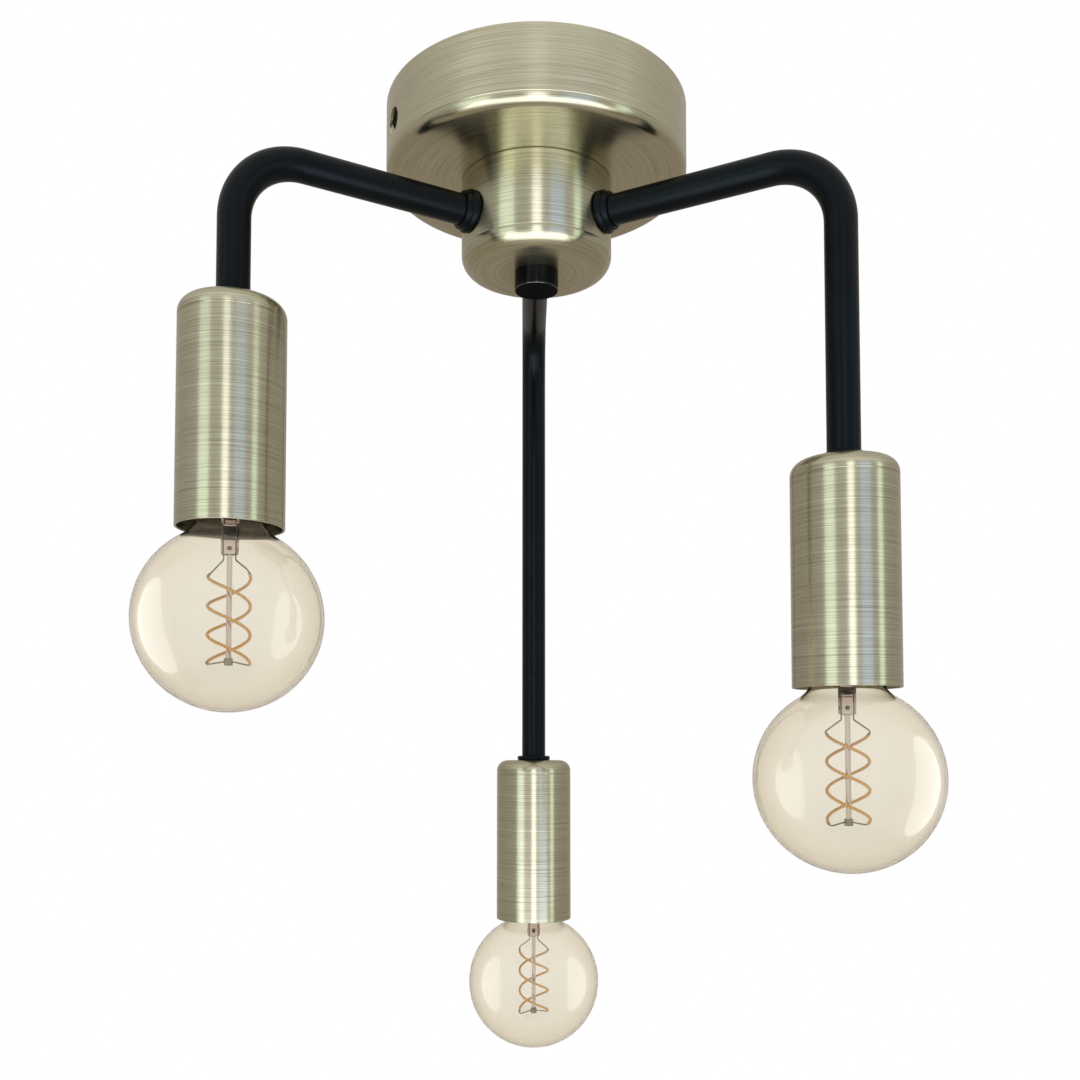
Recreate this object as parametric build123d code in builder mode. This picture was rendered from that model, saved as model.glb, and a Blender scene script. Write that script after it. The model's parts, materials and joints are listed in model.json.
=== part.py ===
from build123d import *
import math
import os

os.makedirs("parts", exist_ok=True)

# Semi flush ceiling light with three drop arms. All sizes in millimetres.
# The origin lies on the ceiling plane at the centre of the mounting bracket,
# +Z points up and the front of the light faces -Y.

# ---- fits ----
thread_d = 10.0  # one lamp thread for the rod, nipples and nuts
thread_play = 0.1  # radial play of the plain cylinders that stand for threads
push_play = 0.1  # radial play where a piece slides over or into another
hole_play = 0.3  # radial play of a plain hole round a thread
run_gap = 0.3  # clearance between pieces that move past each other

# ---- canopy: drawn brass cup with its rim on the ceiling ----
canopy_d = 150.0
canopy_h = 36.0
canopy_wall = 1.2
canopy_round = 4.5
spigot_h = 4.0  # drawn collar round the middle hole that locates the hub
entry_d = 13.0  # cable hole in the side wall
entry_drop = 20.0  # its centre below the ceiling
entry_azimuth = 203.5

# ---- hub: smaller cup under the canopy that carries the arms ----
hub_d = 75.0
hub_h = 45.0
hub_wall = 1.5
hub_round = 8.0

# ---- finial knob ----
knob_d = 22.0
knob_h = 9.0
knob_edge = 0.6
knob_floor = 2.0
washer_d = 17.0
washer_t = 1.0
rod_in_knob = 5.0

# ---- arms: azimuth and drop of the cup's top below the ceiling ----
arms = {
    "left": (210.0, 127.0),
    "right": (330.0, 195.0),
    "rear": (90.0, 327.0),
}
reach = 152.0
tube_d = 14.5
tube_wall = 1.2
bend_radius = 31.0
plug_l = 8.0
nipple_bore = 7.0

# ---- collars where the arms meet the hub and the cups ----
collar_rim = 2.9
small_rim = 1.7
bead_l = 3.0
small_bead_l = 2.4
bead_round = 1.1
ring_h = 2.8

# ---- nuts ----
nut_flats = 14.0
nut_t = 3.0
thread_show = 1.5  # thread left past a nut
thread_lead = 0.6  # chamfer on the rod's ends

# ---- lampholder ----
holder_d = 40.0
holder_h = 45.0
holder_boss_h = 12.0
holder_boss_wall = 3.0
holder_over_cap = 1.0  # holder's mouth above the lamp cap's lower edge
holder_round = 3.0
roof_t = 10.0
shell_t = 0.4
shell_lip = 3.0
shell_set_back = 2.0
contact_t = 0.4
contact_w = 6.0
contact_reach = 9.0
contact_foot = 3.0
contact_flat = 3.0

# ---- socket cup ----
cup_gap = 2.0  # between holder and cup
cup_wall = 1.0
cup_h = 98.0
cup_round = 6.5
cup_groove = 0.25  # fine groove under the shoulder
cup_groove_drop = 8.0

# ---- lamp cap ----
cap_crest = 13.2
cap_thread_depth = 1.0
cap_pitch = 3.629
cap_turns = 4.5
cap_skirt_h = 3.5
cap_sheet = 0.35
cap_roll_h = 2.2
cap_roll = 1.9
insulator_h = 4.3
insulator_top = 5.5
tip_r = 4.6
tip_h = 1.7

# ---- lamp glass ----
globe_r = 40.0
globe_drop = 38.5  # globe centre below the cup's rim
glass_t = 0.9
neck_r = 13.5
neck_low = 8.0  # above the cup's rim
neck_top = 12.8
neck_step = 1.2
neck_in_cap = 3.2

# ---- stem, wound filaments and wires ----
flare_r = 11.0
flare_h = 10.0
flare_lag = 0.3  # how far out the flare's curve stands half way up
stem_r = 3.85
stem_wall = 0.9
pinch_t = 3.2
pinch_drop = 11.4
pinch_h = 9.0
stem_rod_d = 2.3
strand_d = 1.2
winding_r = 8.8
winding_h = 37.0
strand_turns = 1.5
lead_d = 0.7
lead_x = 2.6
lead_drop = 2.0
lead_tail = 2.5
support_d = 0.5
foot_h = 3.0
foot_t = 0.6

# ---- bracket ----
bracket_w = 22.0
bracket_t = 2.0
bracket_drop = 8.0
bracket_end_gap = 5.8
bracket_corner = 3.0
foot_l = 24.0
slot_w = 5.0
slot_l = 14.0
slot_inset = 12.0
earth_y = -24.0
earth_d = 4.0
earth_head_d = 8.0
earth_head_h = 2.6
earth_slot_w = 1.0

# ---- terminal block ----
block_w = 30.0
block_l = 16.0
block_h = 13.0
block_corner = 1.5
block_y = 25.0
pole_pitch = 8.5
insert_d = 5.6
insert_bore = 3.8
insert_inset = 1.0
clamp_d = 3.4
clamp_l = 4.2
clamp_pitch = 8.0
clamp_play = 0.2
clamp_recess = 1.0
clamp_slot_w = 0.6
clamp_slot_depth = 0.8
peg_d = 3.0

# ---- cables ----
cable_d = 5.4
cable_riser_r = 11.5
cable_riser_bend = 12.0
cable_top_bend = 4.0
cable_z = -18.0
cable_end_up = 2.0  # cable's end above the holder's roof

# ---- worked out from the sizes above ----
canopy_r = canopy_d / 2
hub_r = hub_d / 2
hub_in = hub_r - hub_wall
hub_top = -canopy_h
hub_floor = hub_top - hub_h
arm_z = hub_top - hub_h / 2
knob_floor_z = hub_floor - knob_h
rod_end = hub_floor - rod_in_knob
thread_r = thread_d / 2
tube_r = tube_d / 2
tube_in = tube_r - tube_wall
nut_r = nut_flats / math.sqrt(3)
nut_face = math.sqrt(hub_in**2 - (nut_flats / 2) ** 2) - push_play  # nut's flat face inside the round hub
cup_d = holder_d + 2 * (cup_gap + cup_wall)
cup_r = cup_d / 2
cup_in = cup_r - cup_wall
middle_z = -bracket_drop - bracket_t  # underside of the bracket's middle

# heights of the socket's pieces above the cup's rim
cap_low = neck_top + push_play * 2
holder_mouth = cap_low + holder_over_cap
holder_top = holder_mouth + holder_h + holder_boss_h
holder_hang = cup_h - holder_top  # cup top to holder top
shell_in = cap_crest + run_gap
shell_out = shell_in + shell_t
roof_z = holder_mouth + holder_h - roof_t
cap_thread_low = cap_low + cap_skirt_h
cap_thread_top = cap_thread_low + cap_turns * cap_pitch
cap_top = cap_thread_top + cap_roll_h
cap_mid = cap_crest - cap_thread_depth / 2
insulator_low = cap_top - cap_roll_h * 0.7
insulator_r = cap_mid - cap_roll - cap_sheet - push_play
tip_low = insulator_low + insulator_h
tip_top = tip_low + tip_h
contact_z = tip_top + run_gap

# the winding hangs about the globe's centre
winding_top = -globe_drop + winding_h / 2
winding_low = -globe_drop - winding_h / 2
rod_low = winding_low - foot_h / 2
sleeve_r = stem_rod_d / 2 + push_play + foot_t


def polar(radius, azimuth, z=0.0):
    """Point at a radius and azimuth about the light's axis."""
    a = math.radians(azimuth)
    return Vector(radius * math.cos(a), radius * math.sin(a), z)


def along(azimuth):
    """Level unit direction away from the light's axis."""
    return polar(1, azimuth)


def save(part, name):
    """Label one finished piece and write its file."""
    part.label = name
    export_step(part, f"parts/{name}.step")


# ============ ceiling bracket ============
bracket_half = canopy_r - canopy_wall - bracket_end_gap
slot_y = bracket_half - slot_inset
bend_out_y = bracket_half - foot_l
bend_in_y = bend_out_y - bracket_drop
bend_shift = bracket_t * math.tan(math.radians(22.5))
top_half = [(bend_in_y, -bracket_drop), (bend_out_y, 0), (bracket_half, 0)]
low_half = [
    (bracket_half, -bracket_t),
    (bend_out_y + bend_shift, -bracket_t),
    (bend_in_y + bend_shift, middle_z),
]

with BuildPart() as mounting_bracket:
    with BuildSketch(Plane.YZ) as strip_side:
        with BuildLine():
            Polyline(*top_half, *low_half, *[(-y, z) for y, z in low_half[::-1]],
                     *[(-y, z) for y, z in top_half[::-1]], close=True)
        make_face()
    extrude(amount=bracket_w / 2, both=True)
    fillet(mounting_bracket.edges().filter_by(Axis.Z), radius=bracket_corner)
    with BuildSketch(Plane.XY) as slots:
        with Locations((0, slot_y), (0, -slot_y)):
            SlotOverall(slot_l, slot_w, rotation=90)
    extrude(amount=-bracket_t, mode=Mode.SUBTRACT)
    with BuildSketch(Plane.XY.offset(-bracket_drop)) as middle_holes:
        Circle(thread_r + thread_play)
        with Locations((0, earth_y)):
            Circle(earth_d / 2 + thread_play)
        with Locations((-pole_pitch / 2, block_y), (pole_pitch / 2, block_y)):
            Circle(peg_d / 2 + push_play)
    extrude(amount=-bracket_t, mode=Mode.SUBTRACT)
save(mounting_bracket.part, "mounting_bracket")

# ============ threaded rod, clamped in the bracket by two nuts ============
rod_top = -bracket_drop + nut_t + thread_show
with BuildPart() as threaded_rod:
    with BuildSketch(Plane.XY.offset(rod_top)):
        Circle(thread_r)
    extrude(amount=rod_end - rod_top)
    chamfer(threaded_rod.edges().filter_by(GeomType.CIRCLE), length=thread_lead)
save(threaded_rod.part, "threaded_rod")

# ============ canopy ============
spigot_r = hub_in - push_play
spigot_in = spigot_r - canopy_wall
with BuildPart() as canopy:
    with BuildSketch(Plane.XZ) as canopy_wall_section:
        with BuildLine():
            low = -canopy_h
            Line((canopy_r, 0), (canopy_r, low + canopy_round))
            RadiusArc((canopy_r, low + canopy_round), (canopy_r - canopy_round, low), canopy_round)
            Polyline((canopy_r - canopy_round, low), (spigot_r, low), (spigot_r, low - spigot_h),
                     (spigot_in, low - spigot_h), (spigot_in, low + canopy_wall),
                     (canopy_r - canopy_round, low + canopy_wall))
            RadiusArc((canopy_r - canopy_round, low + canopy_wall),
                      (canopy_r - canopy_wall, low + canopy_round), -(canopy_round - canopy_wall))
            Polyline((canopy_r - canopy_wall, low + canopy_round), (canopy_r - canopy_wall, 0), (canopy_r, 0))
        make_face()
    revolve(axis=Axis.Z)
    with BuildSketch(Plane(origin=polar(canopy_r, entry_azimuth, -entry_drop), z_dir=along(entry_azimuth))):
        Circle(entry_d / 2)
    extrude(amount=canopy_wall * 2, both=True, mode=Mode.SUBTRACT)
save(canopy.part, "canopy")

# ============ hub ============
with BuildPart() as hub:
    with BuildSketch(Plane.XY.offset(hub_floor)):
        Circle(hub_r)
    extrude(amount=hub_h)
    fillet(hub.faces().sort_by(Axis.Z)[0].edges(), radius=hub_round)
    offset(amount=-hub_wall, openings=hub.faces().sort_by(Axis.Z)[-1])
    with BuildSketch(Plane.XY.offset(hub_floor)):
        Circle(thread_r + hole_play)
    extrude(amount=hub_wall * 2, mode=Mode.SUBTRACT)
    for azimuth, drop in arms.values():
        with BuildSketch(Plane(origin=(0, 0, arm_z), z_dir=along(azimuth))):
            Circle(thread_r + hole_play)
        extrude(amount=hub_r * 2, mode=Mode.SUBTRACT)
save(hub.part, "hub")

# ============ finial knob and the washer that sits in its top ============
with BuildPart() as finial_washer:
    with BuildSketch(Plane.XY.offset(hub_floor)):
        Circle(washer_d / 2)
        Circle(thread_r + hole_play, mode=Mode.SUBTRACT)
    extrude(amount=-washer_t)
save(finial_washer.part, "finial_washer")

with BuildPart() as finial_knob:
    with BuildSketch(Plane.XY.offset(knob_floor_z)):
        Circle(knob_d / 2)
    extrude(amount=knob_h - push_play)
    fillet(finial_knob.faces().sort_by(Axis.Z)[0].edges(), radius=knob_edge)
    fillet(finial_knob.faces().sort_by(Axis.Z)[-1].edges(), radius=knob_edge / 2)
    with BuildSketch(Plane.XY.offset(hub_floor - washer_t)):
        Circle(washer_d / 2 + push_play)
    extrude(amount=washer_t, mode=Mode.SUBTRACT)
    with BuildSketch(Plane.XY.offset(knob_floor_z + knob_floor)):
        Circle(thread_r + thread_play)
    extrude(amount=knob_h, mode=Mode.SUBTRACT)
save(finial_knob.part, "finial_knob")

# ============ nuts: two on the rod, one on each nipple ============
with BuildPart() as lamp_nuts:
    nut_planes = [
        Plane(origin=(0, 0, -bracket_drop)),
        Plane(origin=(0, 0, middle_z - nut_t)),
    ]
    for azimuth, drop in arms.values():
        inside_hub = polar(nut_face - nut_t, azimuth, arm_z)
        nut_planes.append(Plane(origin=inside_hub, x_dir=(0, 0, 1), z_dir=along(azimuth)))
        nut_planes.append(Plane(origin=polar(reach, azimuth, -drop - cup_wall - nut_t)))
    for nut_plane in nut_planes:
        with BuildSketch(nut_plane):
            RegularPolygon(nut_r, 6)
            Circle(thread_r + thread_play, mode=Mode.SUBTRACT)
        extrude(amount=nut_t)
save(lamp_nuts.part, "lamp_nuts")

# ============ hollow nipples at both ends of each arm ============
hub_nipple_in = nut_face - nut_t - thread_show
hub_nipple_l = hub_r + plug_l - hub_nipple_in
cup_nipple_l = plug_l + holder_hang + plug_l
with BuildPart() as hub_nipples:
    for azimuth, drop in arms.values():
        with BuildSketch(Plane(origin=polar(hub_nipple_in, azimuth, arm_z), z_dir=along(azimuth))):
            Circle(thread_r)
            Circle(nipple_bore / 2, mode=Mode.SUBTRACT)
        extrude(amount=hub_nipple_l)
save(hub_nipples.part, "hub_nipples")

with BuildPart() as cup_nipples:
    for azimuth, drop in arms.values():
        with BuildSketch(Plane(origin=polar(reach, azimuth, -drop + plug_l))):
            Circle(thread_r)
            Circle(nipple_bore / 2, mode=Mode.SUBTRACT)
        extrude(amount=-cup_nipple_l)
save(cup_nipples.part, "cup_nipples")

# ============ terminal block under the bracket ============
block_low = middle_z - block_h
pole_z = middle_z - block_h / 2
block_front = block_y - block_l / 2
poles = [(x, block_y) for x in (-pole_pitch, 0, pole_pitch)]
clamps = [(x, block_y + s * clamp_pitch / 2) for x, _ in poles for s in (-1, 1)]
with BuildPart() as terminal_block:
    with BuildSketch(Plane.XY.offset(block_low)):
        with Locations((0, block_y)):
            RectangleRounded(block_w, block_l, block_corner)
    extrude(amount=block_h)
    with BuildSketch(Plane.XY.offset(middle_z)):
        with Locations((-pole_pitch / 2, block_y), (pole_pitch / 2, block_y)):
            Circle(peg_d / 2)
    extrude(amount=bracket_t)
    with BuildSketch(Plane.XZ.offset(-block_y)):
        with Locations(*[(x, pole_z) for x, _ in poles]):
            Circle(insert_d / 2 + push_play)
    extrude(amount=block_l, both=True, mode=Mode.SUBTRACT)
    with BuildSketch(Plane.XY.offset(block_low)):
        with Locations(*clamps):
            Circle(clamp_d / 2 + clamp_play)
    extrude(amount=block_h / 2, mode=Mode.SUBTRACT)
save(terminal_block.part, "terminal_block")

with BuildPart() as terminal_inserts:
    insert_l = block_l - 2 * insert_inset
    with BuildSketch(Plane.XZ.offset(-block_y)):
        with Locations(*[(x, pole_z) for x, _ in poles]):
            Circle(insert_d / 2)
    extrude(amount=insert_l / 2, both=True)
    with BuildSketch(Plane.XZ.offset(-block_y)):
        with Locations(*[(x, pole_z) for x, _ in poles]):
            Circle(insert_bore / 2)
    extrude(amount=insert_l, both=True, mode=Mode.SUBTRACT)
    with BuildSketch(Plane.XY.offset(block_low)):
        with Locations(*clamps):
            Circle(clamp_d / 2 + thread_play)
    extrude(amount=block_h / 2, mode=Mode.SUBTRACT)
save(terminal_inserts.part, "terminal_inserts")

with BuildPart() as terminal_screws:
    with BuildSketch(Plane.XY.offset(block_low + clamp_recess)):
        with Locations(*clamps):
            Circle(clamp_d / 2)
    extrude(amount=clamp_l)
    with BuildSketch(Plane.XY.offset(block_low + clamp_recess)):
        with Locations(*clamps):
            Rectangle(clamp_d * 1.2, clamp_slot_w)
    extrude(amount=clamp_slot_depth, mode=Mode.SUBTRACT)
save(terminal_screws.part, "terminal_screws")

with BuildPart() as earth_screw:
    with BuildSketch(Plane.XY.offset(middle_z)):
        with Locations((0, earth_y)):
            Circle(earth_head_d / 2)
    extrude(amount=-earth_head_h)
    fillet(earth_screw.faces().sort_by(Axis.Z)[0].edges(), radius=earth_slot_w)
    with BuildSketch(Plane.XY.offset(middle_z - earth_head_h)):
        with Locations((0, earth_y)):
            Rectangle(earth_head_d * 0.6, earth_slot_w)
            Rectangle(earth_slot_w, earth_head_d * 0.6)
    extrude(amount=earth_slot_w, mode=Mode.SUBTRACT)
    with BuildSketch(Plane.XY.offset(middle_z)):
        with Locations((0, earth_y)):
            Circle(earth_d / 2)
    extrude(amount=bracket_t + thread_show)
save(earth_screw.part, "earth_screw")

# ============ lamp globe: where the neck's hollow curve leaves and meets the globe ============
# the hollow arc is tangent to the straight neck and to the globe from outside
neck_rise = neck_low + globe_drop
hollow_r = (neck_r**2 + neck_rise**2 - globe_r**2) / (2 * (globe_r - neck_r))
hollow_x = neck_r + hollow_r
hollow_reach = globe_r + hollow_r
touch_dir = (hollow_x / hollow_reach, neck_rise / hollow_reach)


def mid_arc(centre, start, end, radius):
    """Point halfway along an arc about a centre."""
    mx = (start[0] + end[0]) / 2 - centre[0]
    my = (start[1] + end[1]) / 2 - centre[1]
    k = radius / math.hypot(mx, my)
    return (centre[0] + mx * k, centre[1] + my * k)


def helix_point(turn, phase):
    """Point of a filament's centreline after a number of turns down from its top."""
    a = math.tau * turn + phase
    return Vector(winding_r * math.cos(a), winding_r * math.sin(a), winding_top - winding_h * turn / strand_turns)


def helix_tangent(turn, phase):
    """Unit direction of the same centreline."""
    a = math.tau * turn + phase
    fall = -winding_h / strand_turns / math.tau
    return Vector(-winding_r * math.sin(a), winding_r * math.cos(a), fall).normalized()


quarters = round(strand_turns * 4)

# ============ one arm, socket and lamp at each azimuth ============
for side, (azimuth, drop) in arms.items():
    out = along(azimuth)
    foot = polar(reach, azimuth, -drop)
    rim = foot - Vector(0, 0, cup_h)
    socket = Plane(origin=rim)
    section = Plane(origin=rim, x_dir=(1, 0, 0), z_dir=(0, -1, 0))
    spin = Axis(rim, (0, 0, 1))
    hub_end = Plane(origin=polar(hub_r, azimuth, arm_z), z_dir=out)

    # bent tube with a threaded plug in each end, its hub end shaped to the hub
    with BuildPart() as arm:
        corner = polar(reach, azimuth, arm_z)
        with BuildLine():
            FilletPolyline(polar(hub_in, azimuth, arm_z), corner, foot, radius=bend_radius)
        with BuildSketch(Plane(origin=polar(hub_in, azimuth, arm_z), z_dir=out)):
            Circle(tube_r)
            Circle(tube_in, mode=Mode.SUBTRACT)
        sweep()
        with BuildSketch(Plane(origin=polar(hub_in, azimuth, arm_z), z_dir=out)):
            Circle(tube_in + tube_wall / 2)
        extrude(amount=hub_wall + plug_l)
        with BuildSketch(Plane(origin=foot)):
            Circle(tube_in + tube_wall / 2)
        extrude(amount=plug_l)
        with BuildSketch(Plane(origin=foot), Plane(origin=polar(hub_in, azimuth, arm_z), z_dir=out)):
            Circle(thread_r + thread_play)
        extrude(amount=plug_l + hub_wall, mode=Mode.SUBTRACT)
        with BuildSketch(Plane.XY.offset(hub_floor)):
            Circle(hub_r + push_play)
        extrude(amount=hub_h, mode=Mode.SUBTRACT)
    save(arm.part, f"arm_{side}")

    # double bead collar against the hub
    with BuildPart() as hub_collar:
        with BuildSketch(Plane(origin=hub_end.origin, x_dir=out, z_dir=Vector(0, 0, 1).cross(out))) as beads:
            low_r = tube_r + push_play
            with Locations((-hub_wall, low_r)):
                Rectangle(hub_wall + bead_l, collar_rim, align=(Align.MIN, Align.MIN))
            with Locations((bead_l, low_r)):
                Rectangle(small_bead_l, small_rim, align=(Align.MIN, Align.MIN))
            outer = beads.vertices().filter_by(lambda v: v.X > 0 and v.Y > low_r + small_rim / 2)
            fillet(outer.sort_by(Axis.Y)[-1:] + outer.sort_by(Axis.X)[-1:], radius=bead_round)
        revolve(axis=Axis(hub_end.origin, out))
        with BuildSketch(Plane.XY.offset(hub_floor)):
            Circle(hub_r + push_play)
        extrude(amount=hub_h, mode=Mode.SUBTRACT)
    save(hub_collar.part, f"hub_collar_{side}")

    # thin ring on top of the cup
    with BuildPart() as cup_ring:
        with BuildSketch(Plane(origin=foot)):
            Circle(tube_r + collar_rim)
        extrude(amount=ring_h)
        fillet(cup_ring.edges().filter_by(GeomType.CIRCLE), radius=bead_round)
        with BuildSketch(Plane(origin=foot)):
            Circle(tube_r + push_play)
        extrude(amount=ring_h, mode=Mode.SUBTRACT)
    save(cup_ring.part, f"cup_ring_{side}")

    # tall brass cup, open below
    with BuildPart() as socket_cup:
        with BuildSketch(socket):
            Circle(cup_r)
        extrude(amount=cup_h)
        fillet(socket_cup.faces().sort_by(Axis.Z)[-1].edges(), radius=cup_round)
        offset(amount=-cup_wall, openings=socket_cup.faces().sort_by(Axis.Z)[0])
        with BuildSketch(socket):
            Circle(thread_r + hole_play)
        extrude(amount=cup_h, mode=Mode.SUBTRACT)
        with BuildSketch(section):
            with Locations((cup_r, cup_h - cup_groove_drop)):
                Circle(cup_groove)
        revolve(axis=spin, mode=Mode.SUBTRACT)
    save(socket_cup.part, f"socket_cup_{side}")

    # lampholder body: round case with a threaded boss
    holder_shoulder = holder_mouth + holder_h
    with BuildPart() as lampholder:
        with BuildSketch(socket.offset(holder_mouth)):
            Circle(holder_d / 2)
        extrude(amount=holder_h)
        fillet(lampholder.faces().sort_by(Axis.Z)[-1].edges(), radius=holder_round)
        with BuildSketch(socket.offset(holder_shoulder)):
            Circle(thread_r + holder_boss_wall)
        extrude(amount=holder_boss_h)
        with BuildSketch(socket.offset(holder_mouth)):
            Circle(shell_out + push_play)
        extrude(amount=roof_z - holder_mouth, mode=Mode.SUBTRACT)
        with BuildSketch(socket.offset(roof_z)):
            Circle(thread_r + thread_play)
        extrude(amount=cup_h, mode=Mode.SUBTRACT)
    save(lampholder.part, f"lampholder_{side}")

    # screw shell, drawn as a plain sleeve with an inward lip on the holder's roof
    with BuildPart() as screw_shell:
        with BuildSketch(socket.offset(holder_mouth + shell_set_back)):
            Circle(shell_out)
        extrude(amount=roof_z - holder_mouth - shell_set_back)
        with BuildSketch(socket.offset(holder_mouth + shell_set_back)):
            Circle(shell_in)
        extrude(amount=roof_z - holder_mouth - shell_set_back - shell_t, mode=Mode.SUBTRACT)
        with BuildSketch(socket.offset(holder_mouth)):
            Circle(shell_in - shell_lip)
        extrude(amount=cup_h, mode=Mode.SUBTRACT)
    save(screw_shell.part, f"screw_shell_{side}")

    # sprung strip from the holder's roof down to the lamp's tip
    with BuildPart() as centre_contact:
        with BuildSketch(section):
            with BuildLine():
                foot_x = contact_reach - contact_foot
                lean = contact_t * 0.75
                Polyline((contact_reach, roof_z), (contact_reach, roof_z - contact_t), (foot_x, roof_z - contact_t),
                         (contact_flat, contact_z), (-contact_flat, contact_z),
                         (-contact_flat, contact_z + contact_t), (contact_flat - lean, contact_z + contact_t),
                         (foot_x - lean, roof_z), close=True)
            make_face()
        extrude(amount=contact_w / 2, both=True)
    save(centre_contact.part, f"centre_contact_{side}")

    # two core cable from the holder through the arm and hub to the terminal block
    pole_x = {"left": -pole_pitch, "rear": 0, "right": pole_pitch}[side]
    cable_low = rim + Vector(0, 0, roof_z + cable_end_up)
    with BuildPart() as arm_cable:
        with BuildLine() as route:
            FilletPolyline(cable_low, polar(reach, azimuth, arm_z), polar(cable_riser_r, azimuth, arm_z),
                           polar(cable_riser_r, azimuth, cable_z), (pole_x, block_front - run_gap, cable_z),
                           radius=[bend_radius, cable_riser_bend, cable_top_bend])
        with BuildSketch(Plane(origin=cable_low)):
            Circle(cable_d / 2)
        sweep()
    save(arm_cable.part, f"arm_cable_{side}")

    # lamp cap: thin shell with rolled thread rings
    with BuildPart() as bulb_cap:
        for mode, shift in ((Mode.ADD, 0), (Mode.SUBTRACT, cap_sheet)):
            with BuildSketch(section):
                with BuildLine():
                    skirt = cap_mid - shift
                    Polyline((0, cap_low), (skirt, cap_low), (skirt, cap_thread_low))
                    z = cap_thread_low
                    wave = cap_thread_depth / 2
                    for half in range(round(cap_turns * 2)):
                        swell = wave if half % 2 == 0 else -wave
                        ThreePointArc((skirt, z), (skirt + swell, z + cap_pitch / 4), (skirt, z + cap_pitch / 2))
                        z += cap_pitch / 2
                    Polyline((skirt, z), (skirt - cap_roll, cap_top), (0, cap_top), (0, cap_low))
                make_face()
            revolve(axis=spin, mode=mode)
    save(bulb_cap.part, f"bulb_cap_{side}")

    with BuildPart() as bulb_insulator:
        with BuildSketch(section):
            with BuildLine():
                Polyline((0, insulator_low), (insulator_r, insulator_low), (insulator_r, cap_top),
                         (insulator_top, tip_low), (0, tip_low), close=True)
            make_face()
        revolve(axis=spin)
    save(bulb_insulator.part, f"bulb_insulator_{side}")

    with BuildPart() as bulb_contact:
        with BuildSketch(section):
            with BuildLine():
                dome_r = (tip_r**2 + (tip_h / 2) ** 2) / tip_h
                tip_edge = (tip_r, tip_top - tip_h / 2)
                Polyline((0, tip_top), (0, tip_low), (tip_r, tip_low), tip_edge)
                ThreePointArc(tip_edge, mid_arc((0, tip_top - dome_r), tip_edge, (0, tip_top), dome_r), (0, tip_top))
            make_face()
        revolve(axis=spin)
    save(bulb_contact.part, f"bulb_contact_{side}")

    # blown globe with its neck, one wall all round
    with BuildPart() as bulb_glass:
        with BuildSketch(section):
            with BuildLine():
                for shift in (0, glass_t):
                    r = globe_r - shift
                    centre = (0, -globe_drop)
                    bottom = (0, -globe_drop - r)
                    touch = (r * touch_dir[0], -globe_drop + r * touch_dir[1])
                    neck = (neck_r - shift, neck_low)
                    belly = (r, -globe_drop)
                    shoulder_up = neck_top - shift
                    ThreePointArc(bottom, mid_arc(centre, bottom, belly, r), belly)
                    ThreePointArc(belly, mid_arc(centre, belly, touch, r), touch)
                    ThreePointArc(touch, mid_arc((hollow_x, neck_low), touch, neck, hollow_r + shift), neck)
                    Polyline(neck, (neck_r - shift, shoulder_up), (neck_r - neck_step - shift, shoulder_up),
                             (neck_r - neck_step - shift, neck_top + neck_in_cap))
                Line((neck_r - neck_step, neck_top + neck_in_cap),
                     (neck_r - neck_step - glass_t, neck_top + neck_in_cap))
                Line((0, -globe_drop - globe_r), (0, -globe_drop - globe_r + glass_t))
            make_face()
        revolve(axis=spin)
    save(bulb_glass.part, f"bulb_glass_{side}")

    # glass stem: flared foot in the neck, flat pinch and the long centre rod
    with BuildPart() as bulb_stem:
        with BuildSketch(section):
            with BuildLine():
                flare_top = neck_top + neck_in_cap
                flare_low = flare_top - flare_h
                flare_mid = (flare_low + flare_top) / 2
                bow = (flare_r - stem_r) * flare_lag
                Line((flare_r, flare_top), (flare_r - stem_wall, flare_top))
                ThreePointArc((flare_r - stem_wall, flare_top), (stem_r - stem_wall + bow, flare_mid),
                              (stem_r - stem_wall, flare_low))
                Polyline((stem_r - stem_wall, flare_low), (stem_r - stem_wall, 0), (0, 0), (0, pinch_h - pinch_drop),
                         (stem_r, pinch_h - pinch_drop), (stem_r, flare_low))
                ThreePointArc((stem_r, flare_low), (stem_r + bow, flare_mid), (flare_r, flare_top))
            make_face()
        revolve(axis=spin)
        with BuildSketch(socket.offset(-pinch_drop)):
            Rectangle(stem_r * 2, pinch_t)
        extrude(amount=pinch_h)
        fillet(bulb_stem.faces().sort_by(Axis.Z)[0].edges(), radius=1)
        with BuildSketch(socket.offset(rod_low)):
            Circle(stem_rod_d / 2)
        extrude(amount=-pinch_drop - rod_low)
    save(bulb_stem.part, f"bulb_stem_{side}")

    # two filaments wound round the rod, each on pairs of arcs for every quarter turn
    with BuildPart() as bulb_filaments:
        for phase in (0.0, math.pi):
            with BuildLine() as wound:
                first = helix_point(0, phase) + rim
                Line(first - helix_tangent(0, phase) * strand_d, first)
                for quarter in range(quarters):
                    a, b = quarter / 4, (quarter + 1) / 4
                    p, q = helix_point(a, phase) + rim, helix_point(b, phase) + rim
                    u, v = helix_tangent(a, phase), helix_tangent(b, phase)
                    chord = q - p
                    both = u + v
                    turn = 2 * (u.dot(v) - 1)
                    slope = chord.dot(both)
                    reach_out = (slope - math.sqrt(slope**2 - turn * chord.dot(chord))) / turn
                    join = (p + u * reach_out + q - v * reach_out) / 2
                    TangentArc(p, join, tangent=u)
                    TangentArc(join, q, tangent=(q - v * reach_out) - (p + u * reach_out))
                last = helix_point(strand_turns, phase) + rim
                Line(last, last + helix_tangent(strand_turns, phase) * strand_d)
            with BuildSketch(Plane(origin=wound.wire() @ 0, z_dir=helix_tangent(0, phase))):
                Circle(strand_d / 2)
            sweep()
    save(bulb_filaments.part, f"bulb_filaments_{side}")

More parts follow.
